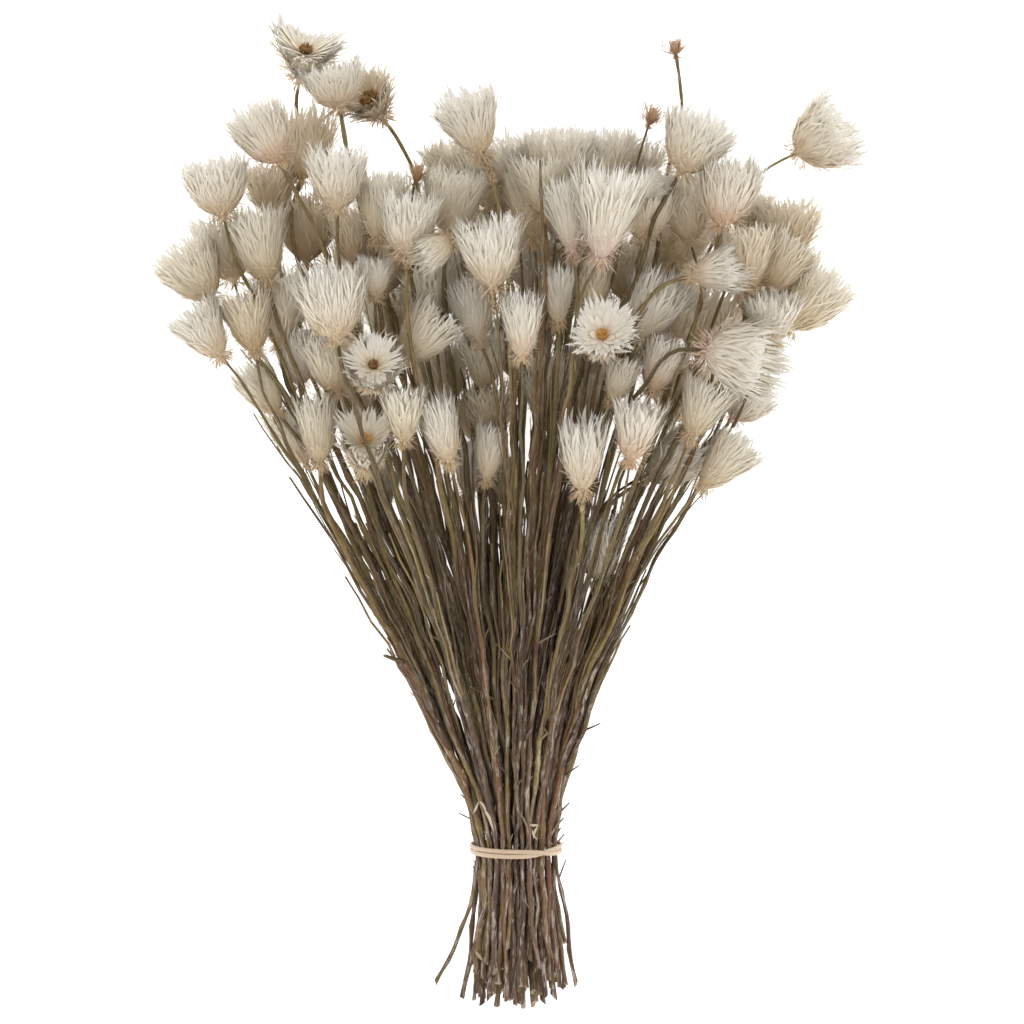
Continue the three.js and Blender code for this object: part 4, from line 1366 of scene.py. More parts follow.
    def crown(self) -> Surface:
        """Make the long bracts of the rim, whose free tips stray up and outwards.

        Returns:
            The bracts.
        """
        seed, _, turn = self.spiral(self.crown_count, 300, self.own.broad)
        t = LONG_BRACT
        tufts = np.sin(11 * turn + DRAWN_PHASE * draw(self.index, 15))
        tip = mix(0.7, 1.04, draw(seed, 31)) + 0.1 * self.lobes(turn, 13) + 0.05 * tufts
        tip *= mix(1.0, self.rim_kept, self.open) * self.rim(turn)
        root = tip - mix(0.4, 0.66, draw(seed, 32))
        h = stepped(root, tip, t)
        leave = np.clip((t - 0.3) / 0.7, 0, 1) ** 1.5
        curl = draw(seed, 33)
        stray = np.where(curl > 0.88, 0.22, mix(-0.07, 0.16, curl))
        r = self.cup(h) * mix(0.84, 0.98, draw(seed, 34))[:, None] + stray[:, None] * leave
        turn = turn[:, None] + strayed(seed, 35, 0.5)[:, None] * leave
        width = self.width * mix(0.03, 0.052, draw(seed, 36)) * mix(1.0, 1.2, self.open)
        roll = strayed(seed, 37, 0.6)
        return self.blades(r, h, turn, width * self.own.broad, roll, seed, 1.0, 0.05)

    def wisps(self) -> Surface:
        """Make the hair-thin bracts that stray from the cup's sides and rim.

        Returns:
            The bracts.
        """
        seed, _, turn = self.spiral(round(self.wisp_count * self.loose**2), 600)
        t = SHORT_BRACT
        tip = mix(0.3, 1.08, draw(seed, 71) ** 0.8)
        tip *= mix(1.0, self.rim_kept, self.open) * self.rim(turn)
        root = tip - mix(0.25, 0.42, draw(seed, 72))
        h = stepped(root, tip, t)
        stray = mix(0.03, 0.2, draw(seed, 73)) * self.loose
        r = self.cup(h) * 0.97 + stray[:, None] * t**2
        turn = turn[:, None] + strayed(seed, 74, 0.9)[:, None] * t**1.5
        width = mix(0.5, 0.9, draw(seed, 75)) * self.loose
        return self.blades(r, h, turn, width, strayed(seed, 76, 1.2), seed)

    def heart(self) -> Surface:
        """Make the bracts that stand inside the cup and fill it to its mouth.

        Returns:
            The bracts.
        """
        seed, s, turn = self.spiral(self.heart_count, 520, self.own.broad)
        t = LONG_BRACT
        tip = mix(0.78, 1.0, draw(seed, 41)) * mix(1.0, 0.8, self.open) * self.rim(turn)
        root = np.minimum(mix(0.3, 0.4, draw(seed, 42)), tip - 0.24)
        h = stepped(root, tip, t)
        r = self.cup(h) * np.sqrt(mix(0.0064, 0.8, s))[:, None] * mix(0.7, 1.0, t)
        turn = turn[:, None] + strayed(seed, 43, 0.4)[:, None] * t**2
        width = self.width * mix(0.045, 0.075, draw(seed, 44)) * self.own.broad
        return self.blades(r, h, turn, width, strayed(seed, 45, 0.8), seed)

    def face(self) -> Surface:
        """Make the bracts of an open bloom, which lie as a shallow bowl round its disc.

        A bract ends at a share of the way to the rim, and its tip rises from the disc's
        level as the 1.6th power of that share. Near the disc the bracts are golden.

        Returns:
            The bracts.
        """
        seed, s, turn = self.spiral(self.heart_count, 520, self.own.broad * 0.36)
        t = LONG_BRACT
        edge = mix(1.0, self.rim_kept, self.open) * self.rim(turn)
        share = mix(0.3, 1.1, s**0.3) * mix(0.88, 1.03, draw(seed, 41))
        low = self.level() - 0.08
        climb = (edge - self.level()) * share**1.6 + 0.08
        h = low + climb[:, None] * t**1.2 + (0.04 * (1 - share))[:, None] * t
        start = self.own.seeded * mix(0.04, 0.08, draw(seed, 42))
        r = stepped(start, self.cup(edge) * share, t)
        turn = turn[:, None] + strayed(seed, 43, 0.3)[:, None] * t**2
        width = self.width * mix(0.045, 0.075, draw(seed, 44)) * self.own.broad
        surface = self.blades(r, h, turn, width, strayed(seed, 45, 0.6), seed)
        surface.place[:, 0] *= mix(0.15, 1.0, smooth(surface.place[:, 1], 0.1, 0.9))
        return surface

    def cap(self) -> Surface:
        """Make the flat bracts that close over the core's dome and point to its middle.

        The dome's height at a share of its radius is the one that the core's own rule
        gives, and a bract's tip lies a little above it.

        Returns:
            The bracts.
        """
        seed, s, turn = self.spiral(self.cap_count, 440)
        t = SHORT_BRACT
        start = np.sqrt(mix(0.94, 0.06, s))
        out = stepped(start, np.maximum(start - 0.5, 0.03), t)
        top = self.core_top()
        h = self.core_foot + 1.04 * top * (1 - out**2) ** (1 / self.dome)
        r = self.plump * self.cup(h) * out
        h = h + mix(0.01, 0.05, draw(seed, 91))[:, None] * t
        turn = turn[:, None] + 0 * t
        width = self.width * mix(0.08, 0.13, draw(seed, 92))
        return self.blades(r, h, turn, width, strayed(seed, 93, 0.5), seed, 0.5)

    def fringe(self) -> Surface:
        """Make the skirt of fine short bracts that bristle round the base.

        The lowest stand out and a little down; the higher they start the more they
        point up.

        Returns:
            The bracts.
        """
        seed, _, turn = self.spiral(self.fringe_count, 360)
        t = SHORT_BRACT
        level = draw(seed, 52) ** 1.5
        start = mix(-0.02, 0.25, level)
        climb = mix(-0.12, 0.08, level) + strayed(seed, 53, 0.12)
        reach = mix(0.1, 0.27, draw(seed, 55) ** 1.4)
        h = start[:, None] + climb[:, None] * t
        base = self.cup(np.maximum(start, 0.03)) * 0.92
        r = base[:, None] + reach[:, None] * t
        turn = turn[:, None] + strayed(seed, 56, 0.5)[:, None] * t**2
        width = mix(0.6, 1.1, draw(seed, 57))
        return self.blades(r, h, turn, width, strayed(seed, 58, 1.2), seed, 0.45)

    def collar(self) -> Surface:
        """Make the small scales that clothe the neck and stand off more near the cup.

        Returns:
            The bracts.
        """
        seed, s, turn = self.spiral(self.collar_count, 470, 1 / (1 + 3 * self.own.neck))
        t = SHORT_BRACT
        length = max(self.own.neck, mix(0.04, 0.22, float(draw(self.index, 14))))
        start = -length * (1 - s) - 0.01
        climb = mix(0.05, 0.11, draw(seed, 61))
        reach = mix(0.015 + 0.12 * self.own.neck, 0.1 + 0.1 * self.own.neck, s**1.5)
        reach *= mix(0.5, 1.2, draw(seed, 62))
        h = start[:, None] + climb[:, None] * t
        r = 0.035 + reach[:, None] * t
        turn = turn[:, None] + 0 * t
        width = mix(0.6, 1.1, draw(seed, 63)) * (1 + self.own.neck)
        return self.blades(r, h, turn, width, strayed(seed, 64, 0.8), seed, 0.2)

    def core_top(self) -> float:
        """Give the height of the core's dome, just under a disc where there is one."""
        return mix(0.72, 0.46, self.open) if self.own.disc is Disc.NONE else self.level() - 0.12

    def level(self) -> float:
        """Give the height at which a disc lies."""
        return mix(0.66, 0.55, self.open)

    def core(self) -> Surface:
        """Make the closed core that the bracts grow from: the cup drawn in and domed over.

        Its radius is the cup's times the root of 1 less the height's share to the power dome.

        Returns:
            The core.
        """
        sides, rings, top = self.core_sides, self.core_rings, self.core_top()
        h = np.linspace(self.core_foot, top, rings)
        way = (h - self.core_foot) / (top * 1.04)
        r = self.plump * self.cup(h) * np.sqrt(np.clip(1 - way**self.dome, 0, 1))
        turn = np.arange(sides) * TURN / sides
        ring = self.stand(
            np.repeat(r[:, None], sides, 1), np.repeat(h[:, None], sides, 1),
            np.broadcast_to(turn, (rings, sides)),
        ).reshape(-1, 3)
        low = self.foot - self.axis * self.core_foot * self.height
        high = self.foot + self.axis * (top * 1.03) * self.height
        points = np.concatenate([[low], ring, [high]])
        quads, triangles = tube_faces(rings, sides)
        share = np.concatenate([[0.0], np.repeat(h, sides), [top]])
        place = np.stack([share, share * 0 + 0.1, share * 0 + 0.4], 1)
        around = np.concatenate([[0.0], np.tile(turn, rings), [0.0]])
        grain = np.stack([around * self.width / 2, share * 0 + self.index, share * self.height], 1)
        rim = np.zeros(len(points), int)
        return Surface(points, quads, triangles, place, grain, self.tint_and_shade.value, rim)

    def florets(self) -> Surface:
        """Stand thin pointed florets close together in the middle, on a sunflower spiral.

        Returns:
            The florets.
        """
        count = self.floret_count
        k = np.arange(count)
        out = np.sqrt((k + 0.5) / count)
        turn = k * GOLDEN_TURN
        r = self.disc_radius * self.own.seeded * out
        h = self.level() + 0.03 + 0.04 * (1 - out**2) + strayed(k, 61, 0.09)
        base = self.stand(r * 0.7, 0.9 * self.core_top() + 0 * out, turn)
        top = self.stand(r * 1.1, h, turn + strayed(k, 63, 0.4))
        side, front = self.frame()
        angle = np.arange(4) * np.pi / 2
        ring = np.cos(angle)[:, None] * side + np.sin(angle)[:, None] * front
        thick = self.floret_radius * self.own.seeded * self.width
        belly = (base + (top - base) * 0.75)[:, None] + ring * thick
        points = np.concatenate([base[:, None], belly, top[:, None]], axis=1)
        each = points.shape[1]
        quads, triangles = tube_faces(1, len(angle))
        tip = np.tile([0.0, *[0.5] * len(angle), 1.0], count)
        place = np.stack([np.repeat(out, each), tip, np.repeat(draw(k, 62), each)], 1)
        points = points.reshape(-1, 3)
        return Surface(
            points, repeated(quads, each, count), repeated(triangles, each, count),
            place, points - self.foot, self.own.disc.value, np.zeros(len(points), int),
        )

    def surfaces(self) -> list[Surface]:
        """Make all of the head's surfaces.

        Returns:
            The surfaces.
        """
        faced = self.own.disc is not Disc.NONE
        return [
            self.core(), self.scales(), self.crown(), self.wisps(), self.fringe(), self.collar(),
            *([self.face(), self.florets()] if faced else [self.heart(), self.cap()]),
        ]


@dataclass
class SpentHead(Bloom):
    """A head that has shed: a small knob with a few ragged bracts that spread from it.

    It has the same fields as a bloom, with far fewer bracts.
    """

    plump: float = 0.4
    scale_count: int = 24
    crown_count: int = 44
    wisp_count: int = 16
    heart_count: int = 8
    cap_count: int = 12
    fringe_count: int = 44
    collar_count: int = 30

    def crown(self) -> Surface:
        """Make thin wisps of uneven length that spread from the knob.

        Returns:
            The bracts.
        """
        seed, _, turn = self.spiral(self.crown_count, 300)
        t = LONG_BRACT
        tip = mix(0.3, 1.15, draw(seed, 31))
        h = 0.1 + (tip - 0.1)[:, None] * t
        r = 0.1 + mix(0.1, 0.65, draw(seed, 32))[:, None] * t**1.2
        turn = turn[:, None] + strayed(seed, 33, 0.8)[:, None] * t**2
        width = self.width * mix(0.05, 0.11, draw(seed, 34))
        return self.blades(r, h, turn, width, strayed(seed, 35, 2.0), seed)


CHARACTERS = {
    0: Character(Disc.BROWN, 0.3, 0.1, broad=1.2),
    2: Character(Disc.BROWN, 0.0, 0.2, broad=1.2, seeded=2.0),
    18: Character(neck=0.5),
    43: Character(broad=1.6),
    50: Character(broad=1.9),
    51: Character(broad=2.1, neck=0.3),
    53: Character(Disc.YELLOW, 0.0, 0.12, broad=1.9),
    58: Character(broad=1.6),
    59: Character(neck=0.5),
    66: Character(Disc.BROWN, 0.0, 0.3, broad=1.3, spread=0.5),
    69: Character(Disc.YELLOW, 0.1, 0.3, broad=1.5, spread=0.45),
    70: Character(broad=1.7),
    71: Character(broad=1.5),
    75: Character(broad=1.8),
}


@dataclass
class BloomGroup:
    """Heads that touch, one piece, which stands for one node of the solids.

    Attributes:
        upper_from: How far over the midline a head counts as one of the upper layers.
        lower_fullness, hidden_fullness: Share of the bracts of a lower or a hidden head.
        lower_loose: How much farther the stray bracts of the lower heads stand off.
    """

    node: str
    members: list[int]
    upper_from: float = 5.0
    lower_fullness: float = 0.62
    hidden_fullness: float = 0.4
    lower_loose: float = 1.6

    def bloom(self, head: int, heads: Heads) -> Bloom:
        """Set up one head with its own character.

        Args:
            head: Which head.
            heads: All heads.

        Returns:
            The bloom, or the spent head.
        """
        spent = heads.kinds[head] is Kind.SPENT
        index = int(heads.index[head])
        full = spent or heads.z[head] > midline(heads.y[head]) + self.upper_from
        hidden = index >= UNDER_INDEX and not spent
        fullness = self.hidden_fullness if hidden else 1.0 if full else self.lower_fullness
        own = CHARACTERS.get(index, PLAIN)
        return (SpentHead if spent else Bloom)(
            heads.foot[head], heads.axis[head], heads.width[head], heads.height[head],
            heads.open[head] * own.spread, index, heads.tints_and_shade[head], own, fullness,
            loose=1.0 if full else self.lower_loose,
        )

    def build(self, layout: Layout) -> bpy.types.Object:
        """Make the heads, press them in among their neighbours, and dress the piece.

        Args:
            layout: The bunch.

        Returns:
            The piece.
        """
        surfaces = []
        for head in self.members:
            crowding = Crowding.around(head, layout, self.members)
            for surface in self.bloom(head, layout.heads).surfaces():
                surface.points = crowding.press(surface.points)
                surfaces.append(surface)
        name = self.node.replace("blooms", "bloom_group").replace("spent_head", "spent_bloom")
        piece = mesh_object(name, surfaces, layout.setting)
        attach(piece, "root")
        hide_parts(self.node)
        return piece


# ------------------------------------------------------------------ stems and band


@dataclass(frozen=True)
class Scrap:
    """A scrap of dead leaf caught on the stems: where it lies, seen from above.

    Attributes:
        near, clear: How near a stem has to pass to hold it up, and how far it lies over it.
        arch: How far its middle rises over its ends.
    """

    line: tuple[Pair, ...]
    width: float = 1.1
    near: float = 3.0
    clear: float = 0.3
    arch: float = 1.2


SCRAPS = {
    "stems_2_over": (
        Scrap(((-21.5, 18.0), (-20.0, 21.0), (-18.6, 24.5))),
        Scrap(((-18.4, 24.6), (-16.4, 22.4), (-14.6, 18.5))),
        Scrap(((-16.2, 21.0), (-13.4, 16.0), (-11.0, 8.5)), 1.5),
    ),
    "stems_5_over": (
        Scrap(((7.0, 12.5), (9.0, 12.2), (11.4, 12.4)), 1.3),
        Scrap(((11.0, 12.2), (9.4, 9.0), (8.6, 5.0))),
        Scrap(((8.0, 10.5), (8.6, 7.5), (11.0, 4.6)), 0.9),
    ),
}


@dataclass(frozen=True)
class StemLine:
    """One stem's middle line, which its shoots and leaves grow from.

    Attributes:
        along: Distance of each point of the path from the cut end.
        share: Share of the way from band to bloom at each, below 0 behind the band.
        held, total: Distance of the band, and of the head.
    """

    path: Array
    radius: Array
    along: Array
    share: Array
    seed: float
    held: float
    total: float


@dataclass
class StemBundle:
    """Stems that the band presses together: one piece for one node of the solids.

    Attributes:
        spacing: Length of stem between two rings.
        sink: How far a stem runs on into its head.
        oval: How far a stem's section is from round, as a share of its radius.
        bevel: Size of the cut face, as a share of the cut end.
        kink, splay: How far a knee, and a cut end, may stray across, along and up.
        band_ease, head_ease: Distances from band and head over which the kinks begin.
        butt_length: Length behind the band over which the splay grows.
        clear: How far a stem's middle line stays over the table.
        taper: Share of the radius at the band, a quarter of the way up, and at the head.
        uneven, scar: How far the radius strays at a ring, and swells at a knee.
        grain_radius, grain_apart: Radius of the grain's ring, and the way to the next stem's.
        first_shoots: How many of the side shoots are slim.
        twig_to: Share of the stem up to which the first and the later twigs grow.
        twig_away, spur_lean: How far they end beside the stem, as shares of their length.
        stout: How much longer and thicker the later shoots are.
    """

    node: str
    members: list[int]
    sides: int = 7
    spacing: float = 6.0
    sink: float = 4.0
    oval: float = 0.07
    bevel: float = 0.84
    knees: Pair = (13.0, 22.0)
    kink: Triple = (3.2, 0.0, 2.2)
    splay: Triple = (6.0, 0.0, 3.0)
    band_ease: Pair = (2.0, 16.0)
    head_ease: Pair = (8.0, 40.0)
    butt_length: float = 60.0
    clear: float = 1.6
    thickness: Pair = (0.6, 1.06)
    taper: Triple = (1.0, 0.9, 0.84)
    uneven: float = 0.32
    scar: float = 0.28
    scar_end: Pair = (90.0, 230.0)
    grain_radius: float = 1.4
    grain_apart: float = 7.0
    shoots: int = 14
    first_shoots: int = 8
    twig_chance: float = 0.75
    spur_chance: float = 0.6
    twig_from: float = 30.0
    twig_to: Pair = (0.8, 0.42)
    spur_place: Pair = (-45.0, 110.0)
    twig_length: Pair = (28.0, 80.0)
    spur_length: Pair = (3.0, 8.0)
    twig_away: Pair = (0.06, 0.14)
    spur_lean: Pair = (0.5, 1.3)
    shoot_radius: Pair = (0.42, 0.62)
    stout: float = 1.5
    leaf_count: int = 5
    leaf_length: Pair = (3.0, 8.0)
    leaf_width: Pair = (0.7, 1.4)

    def curve(self, points: Array, spacing: float) -> tuple[Array, Array]:
        """Lay a smooth curve through points and step along it.

        Each stretch is a cubic with the slopes of its ends, and a slope is the mean of
        the slopes of the stretches that meet there, weighted by the other's length.

        Args:
            points: The points to pass through.
            spacing: About how far apart the steps are.

        Returns:
            Points along the curve, and the distance of each from the start.
        """
        gaps = np.linalg.norm(np.diff(points, axis=0), axis=1)
        slope = np.diff(points, axis=0) / gaps[:, None]
        inner = slope[:-1] * gaps[1:, None] + slope[1:] * gaps[:-1, None]
        inner /= (gaps[1:] + gaps[:-1])[:, None]
        slopes = np.concatenate([slope[:1], inner, slope[-1:]])
        knots = np.concatenate([[0.0], np.cumsum(gaps)])
        steps = np.linspace(0.0, knots[-1], int(knots[-1] / spacing) + 2)
        at = np.clip(np.searchsorted(knots, steps, side="right") - 1, 0, len(gaps) - 1)
        width = gaps[at][:, None]
        t = (steps - knots[at])[:, None] / width
        start = (2 * t**3 - 3 * t**2 + 1) * points[at]
        start += (t**3 - 2 * t**2 + t) * slopes[at] * width
        end = (3 * t**2 - 2 * t**3) * points[at + 1]
        end += (t**3 - t**2) * slopes[at + 1] * width
        return start + end, steps

    def tube(self, path: Array, radius: Array, share: Array, far: Array, seed: float,
             sides: int, slant: float) -> Surface:
        """Carry a slightly oval ring along a path and close both ends.

        The first end is cut on a slant, with a flat pale face inside its sharp rim.

        Args:
            path: Points of the middle line.
            radius: Radius at each point.
            share: Share of the way from band to bloom at each point.
            far: Distance along the stem at each point.
            seed: The number that seeds the draws.
            sides: Sides of the ring.
            slant: How far the cut leans, as a share of the radius.

        Returns:
            The closed tube.
        """
        forward = unit(np.gradient(path, axis=0))
        side = unit(np.cross(forward, [0.0, 0.0, 1.0]))
        front = np.cross(side, forward)
        angle = np.arange(sides) * TURN / sides
        lobe = 1 + self.oval * np.sin(2 * angle + DRAWN_PHASE * draw(seed, 57))
        out = np.cos(angle)[:, None] * side[:, None] + np.sin(angle)[:, None] * front[:, None]
        rings = path[:, None] + out * (radius[:, None] * lobe)[..., None]
        lean = np.cos(angle + DRAWN_PHASE * draw(seed, 58)) * slant * radius[0]
        rings[0] += forward[0] * lean[:, None]
        inner = path[0] + (rings[0] - path[0]) * self.bevel
        rings = np.concatenate([inner[None], rings])
        count = len(rings)
        flat = np.concatenate([path[:1], rings.reshape(-1, 3), path[-1:]])
        quads, triangles = tube_faces(count, sides)

        def spread(values: Array) -> Array:
            """Repeat a value per ring for the points of each ring."""
            rings_too = np.concatenate([values[:1], values])
            return np.concatenate([values[:1], np.repeat(rings_too, sides), values[-1:]])

        cut = np.zeros(len(flat))
        cut[:1 + sides] = 1.0
        place = np.stack([spread(share), cut, np.full(len(flat), draw(seed, 60))], 1)
        turn = np.concatenate([[0.0], np.tile(angle, count), [0.0]])
        around = np.sin(turn) * self.grain_radius + seed * self.grain_apart
        grain = np.stack([np.cos(turn) * self.grain_radius, around, spread(far)], 1)
        rim = np.zeros(len(flat), int)
        rim[1 + sides:1 + 2 * sides] = 1
        return Surface(flat, quads, triangles, place, grain, "stem_bark", rim)

    def stem(self, number: int, layout: Layout) -> list[Surface]:
        """Make one stem with its side twigs, spurs and scale leaves.

        The path leaves the planned curve by a broken line with a knee every centimetre
        or two, which dies out at the band and at the head. The radius is the planned one
        times the taper; it strays a little at each ring and swells at the knees.

        Args:
            number: Which stem.
            layout: The bunch.

        Returns:
            The stem's surface and those of what grows on it.
        """
        points, radii, hold = layout.stems.of(number)
        head = layout.stems.heads[number]
        if head >= 0:
            points = np.vstack([points, points[-1] + layout.heads.axis[head] * self.sink])
            radii = np.append(radii, radii[-1] * 0.9)
        path, along = self.curve(points, self.spacing)
        knots = np.concatenate([[0], np.cumsum(np.linalg.norm(np.diff(points, axis=0), axis=1))])
        seed = float(layout.stems.index[number])
        held, total = knots[hold], knots[-1]
        ease = smooth(np.abs(along - held), *self.band_ease)
        ease = ease * smooth(total - along, *self.head_ease)
        joint = mix(*self.knees, float(draw(seed, 51)))
        knee = seed * 61 + np.arange(int(total / joint) + 2)
        kinks = [np.interp(along / joint, np.arange(len(knee)), strayed(knee, salt, 1.0))
                 for salt in (52, 53, 54)]
        path = path + np.stack(kinks, 1) * self.kink * ease[:, None]
        below = np.clip((held - along) / self.butt_length, 0, 1.2)[:, None]
        path = path + below * strayed(seed, np.array([61, 0, 62]), 1.0) * self.splay
        path[:, 2] = np.maximum(path[:, 2], FLOOR + self.clear)
        share = np.clip((along - held) / (total - held), -1, 1)
        radius = np.interp(along, knots, radii) * np.interp(share, [0, 0.25, 1], self.taper)
        radius *= mix(*self.thickness, draw(seed, 50))
        scarred = np.abs((along / joint) % 1.0 - 0.5) > 0.5 - self.spacing / joint / 2
        swell = self.scar * scarred * (1 - smooth(along - held, *self.scar_end))
        radius = radius * (1 + strayed(seed * 131 + np.arange(len(along)), 56, self.uneven) + swell)
        line = StemLine(path, radius, along, share, seed, held, total)
        slant = mix(0.2, 1.2, draw(seed, 63))
        bark = self.tube(path, radius, share, along, seed, self.sides, slant)
        return [bark, *self.twigs(line), self.leaves(line)]

    def twigs(self, line: StemLine) -> list[Surface]:
        """Make a stem's side shoots: a long thin twig, and short broken spurs low down.

        A twig leaves its stem at a small angle and bends back beside it, as its own
        distance to the power 0.7. A spur is short, straight and steeper.

        Args:
            line: The stem's middle line.

        Returns:
            The shoots.
        """
        made = []
        for number in range(self.shoots):
            key = line.seed * 17 + number * 3.7
            long = number % 4 < 2
            if draw(key, 71) > (self.twig_chance if long else self.spur_chance):
                continue
            slim = number < self.first_shoots
            highest = self.twig_to[0 if slim else 1] * (line.total - line.held)
            low, high = (self.twig_from, highest) if long else self.spur_place
            at = mix(line.held + low, line.held + high, float(draw(key, 72)))
            k = int(np.clip(np.searchsorted(line.along, at), 1, len(line.along) - 3))
            forward = unit(line.path[k + 1] - line.path[k - 1])
            lateral = square_to(forward, DRAWN_TURN * float(draw(key, 73)))
            stout = 1.0 if slim else self.stout
            length = mix(*(self.twig_length if long else self.spur_length), float(draw(key, 74)))
            length = min(length * stout, line.total - at)
            steps = np.linspace(0.0, 1.0, 9 if long else 4)[:, None]
            far = at + steps[:, 0] * length
            if long:
                beside = [np.interp(far, line.along, line.path[:, c]) for c in range(3)]
                away = mix(*self.twig_away, float(draw(key, 75))) * length
                away *= 1.0 if number < 2 else 0.5
                wobble = strayed(key + np.arange(9) * 0.31, 76, 1.1)[:, None]
                away = away * steps**0.7 + wobble * steps**0.3
                shoot = np.stack(beside, 1) + lateral * away
            else:
                lean = mix(*self.spur_lean, float(draw(key, 75)))
                shoot = line.path[k] + (forward + lateral * lean) * steps * length
            shoot[:, 2] = np.maximum(shoot[:, 2], FLOOR + 0.8)
            thick = mix(*self.shoot_radius, float(draw(key, 77))) * mix(1.0, 0.5, steps[:, 0])
            thick *= line.radius[k] * stout
            level = np.full(len(shoot), line.share[k])
            made.append(self.tube(shoot[::-1], thick[::-1], level, far[::-1], key, 5, 0.8))
        return made

    def leaves(self, line: StemLine) -> Surface:
        """Make the small dry scale leaves that still cling to a stem, pointing up it.

        Args:
            line: The stem's middle line.

        Returns:
            The leaves.
        """
        key = line.seed * 29 + np.arange(self.leaf_count)
        at = mix(line.held - 50, line.total - 6, draw(key, 81))
        k = np.clip(np.searchsorted(line.along, at), 1, len(line.along) - 2)
        forward = unit(line.path[k + 1] - line.path[k - 1])
        lateral = square_to(forward, DRAWN_TURN * draw(key, 82)[:, None])[:, None]
        length = mix(*self.leaf_length, draw(key, 83))[:, None, None]
        lean = mix(0.15, 0.75, draw(key, 84))[:, None, None]
        t = np.array([0.0, 0.2, 0.5, 0.8, 1.0])
        step = t[None, :, None]
        path = (
            line.path[k][:, None] + lateral * (line.radius[k][:, None, None] * 0.7)
            + forward[:, None] * length * step + lateral * length * lean * step**1.6
        )
        outward = np.broadcast_to(lateral, path.shape)
        width = mix(*self.leaf_width, draw(key, 85))
        blades = Blades(path, outward, width, strayed(key, 86, 1.5))
        level = np.full((self.leaf_count, len(t)), 0.3)
        return blades.surface(t, level, draw(key, 87), "dry_leaf")

    def scraps(self, stems: Stems) -> Surface:
        """Lay the bundle's scraps of dead leaf on the highest stems under them.

        Args:
            stems: All stems.

        Returns:
            The scraps.
        """
        t = np.linspace(0.0, 1.0, 5)
        start, _ = stems.stretches()
        p, q = stems.points[start], stems.points[start + 1]
        rows = []
        for scrap in SCRAPS[self.node]:
            knots = np.array(scrap.line)
            x, y = (np.interp(t * (len(knots) - 1), np.arange(len(knots)), knots[:, c])
                    for c in range(2))
            way = (y[:, None] - p[:, 1]) / (q - p)[:, 1]
            beside = np.abs(p[:, 0] + way * (q - p)[:, 0] - x[:, None]) < scrap.near
            under = beside & (way >= 0) & (way <= 1)
            level = np.where(under, p[:, 2] + way * (q - p)[:, 2], 0.0).max()
            arch = scrap.arch * np.sin(np.pi * t)
            rows.append(np.stack([x, y, level + STEM_MID_RADIUS + scrap.clear + arch], 1))
        line = np.array(rows)
        width = np.array([scrap.width for scrap in SCRAPS[self.node]])
        blades = Blades(line, np.broadcast_to([0.0, 0.0, 1.0], line.shape), width, 0 * width)
        share = np.full((len(rows), len(t)), 0.5)
        return blades.surface(t, share, 0 * width + 0.5, TintAndShade.BROWN.value)

    def build(self, layout: Layout) -> bpy.types.Object:
        """Make the bundle's stems and dress the piece.

        Args:
            layout: The bunch.

        Returns:
            The piece.
        """
        surfaces = [made for number in self.members for made in self.stem(number, layout)]
        if self.node in SCRAPS:
            surfaces.append(self.scraps(layout.stems))
        name = self.node.replace("stems", "stem_bundle")
        piece = mesh_object(name, surfaces, layout.setting)
        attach(piece, "root")
        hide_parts(self.node)
        return piece


def bundles_of(stems: Stems) -> list[StemBundle]:
    """Part the stems into bundles by their columns, and into an under and an over half.

    Args:
        stems: All stems.

    Returns:
        The bundles, named as the solids are.
    """
    columns = sorted({slot.column for slot in stems.slots})
    bundles = []
    start = 0
    for block, wide in enumerate(BUNDLE_COLUMNS, 1):
        part = columns[start:start + wide]
        start += wide
        for side in ("under", "over"):
            members = [
                number for number, slot in enumerate(stems.slots)
                if slot.column in part and (slot.z > 0) == (side == "over")
            ]
            bundles.append(StemBundle(f"stems_{block}_{side}", members))
    return bundles


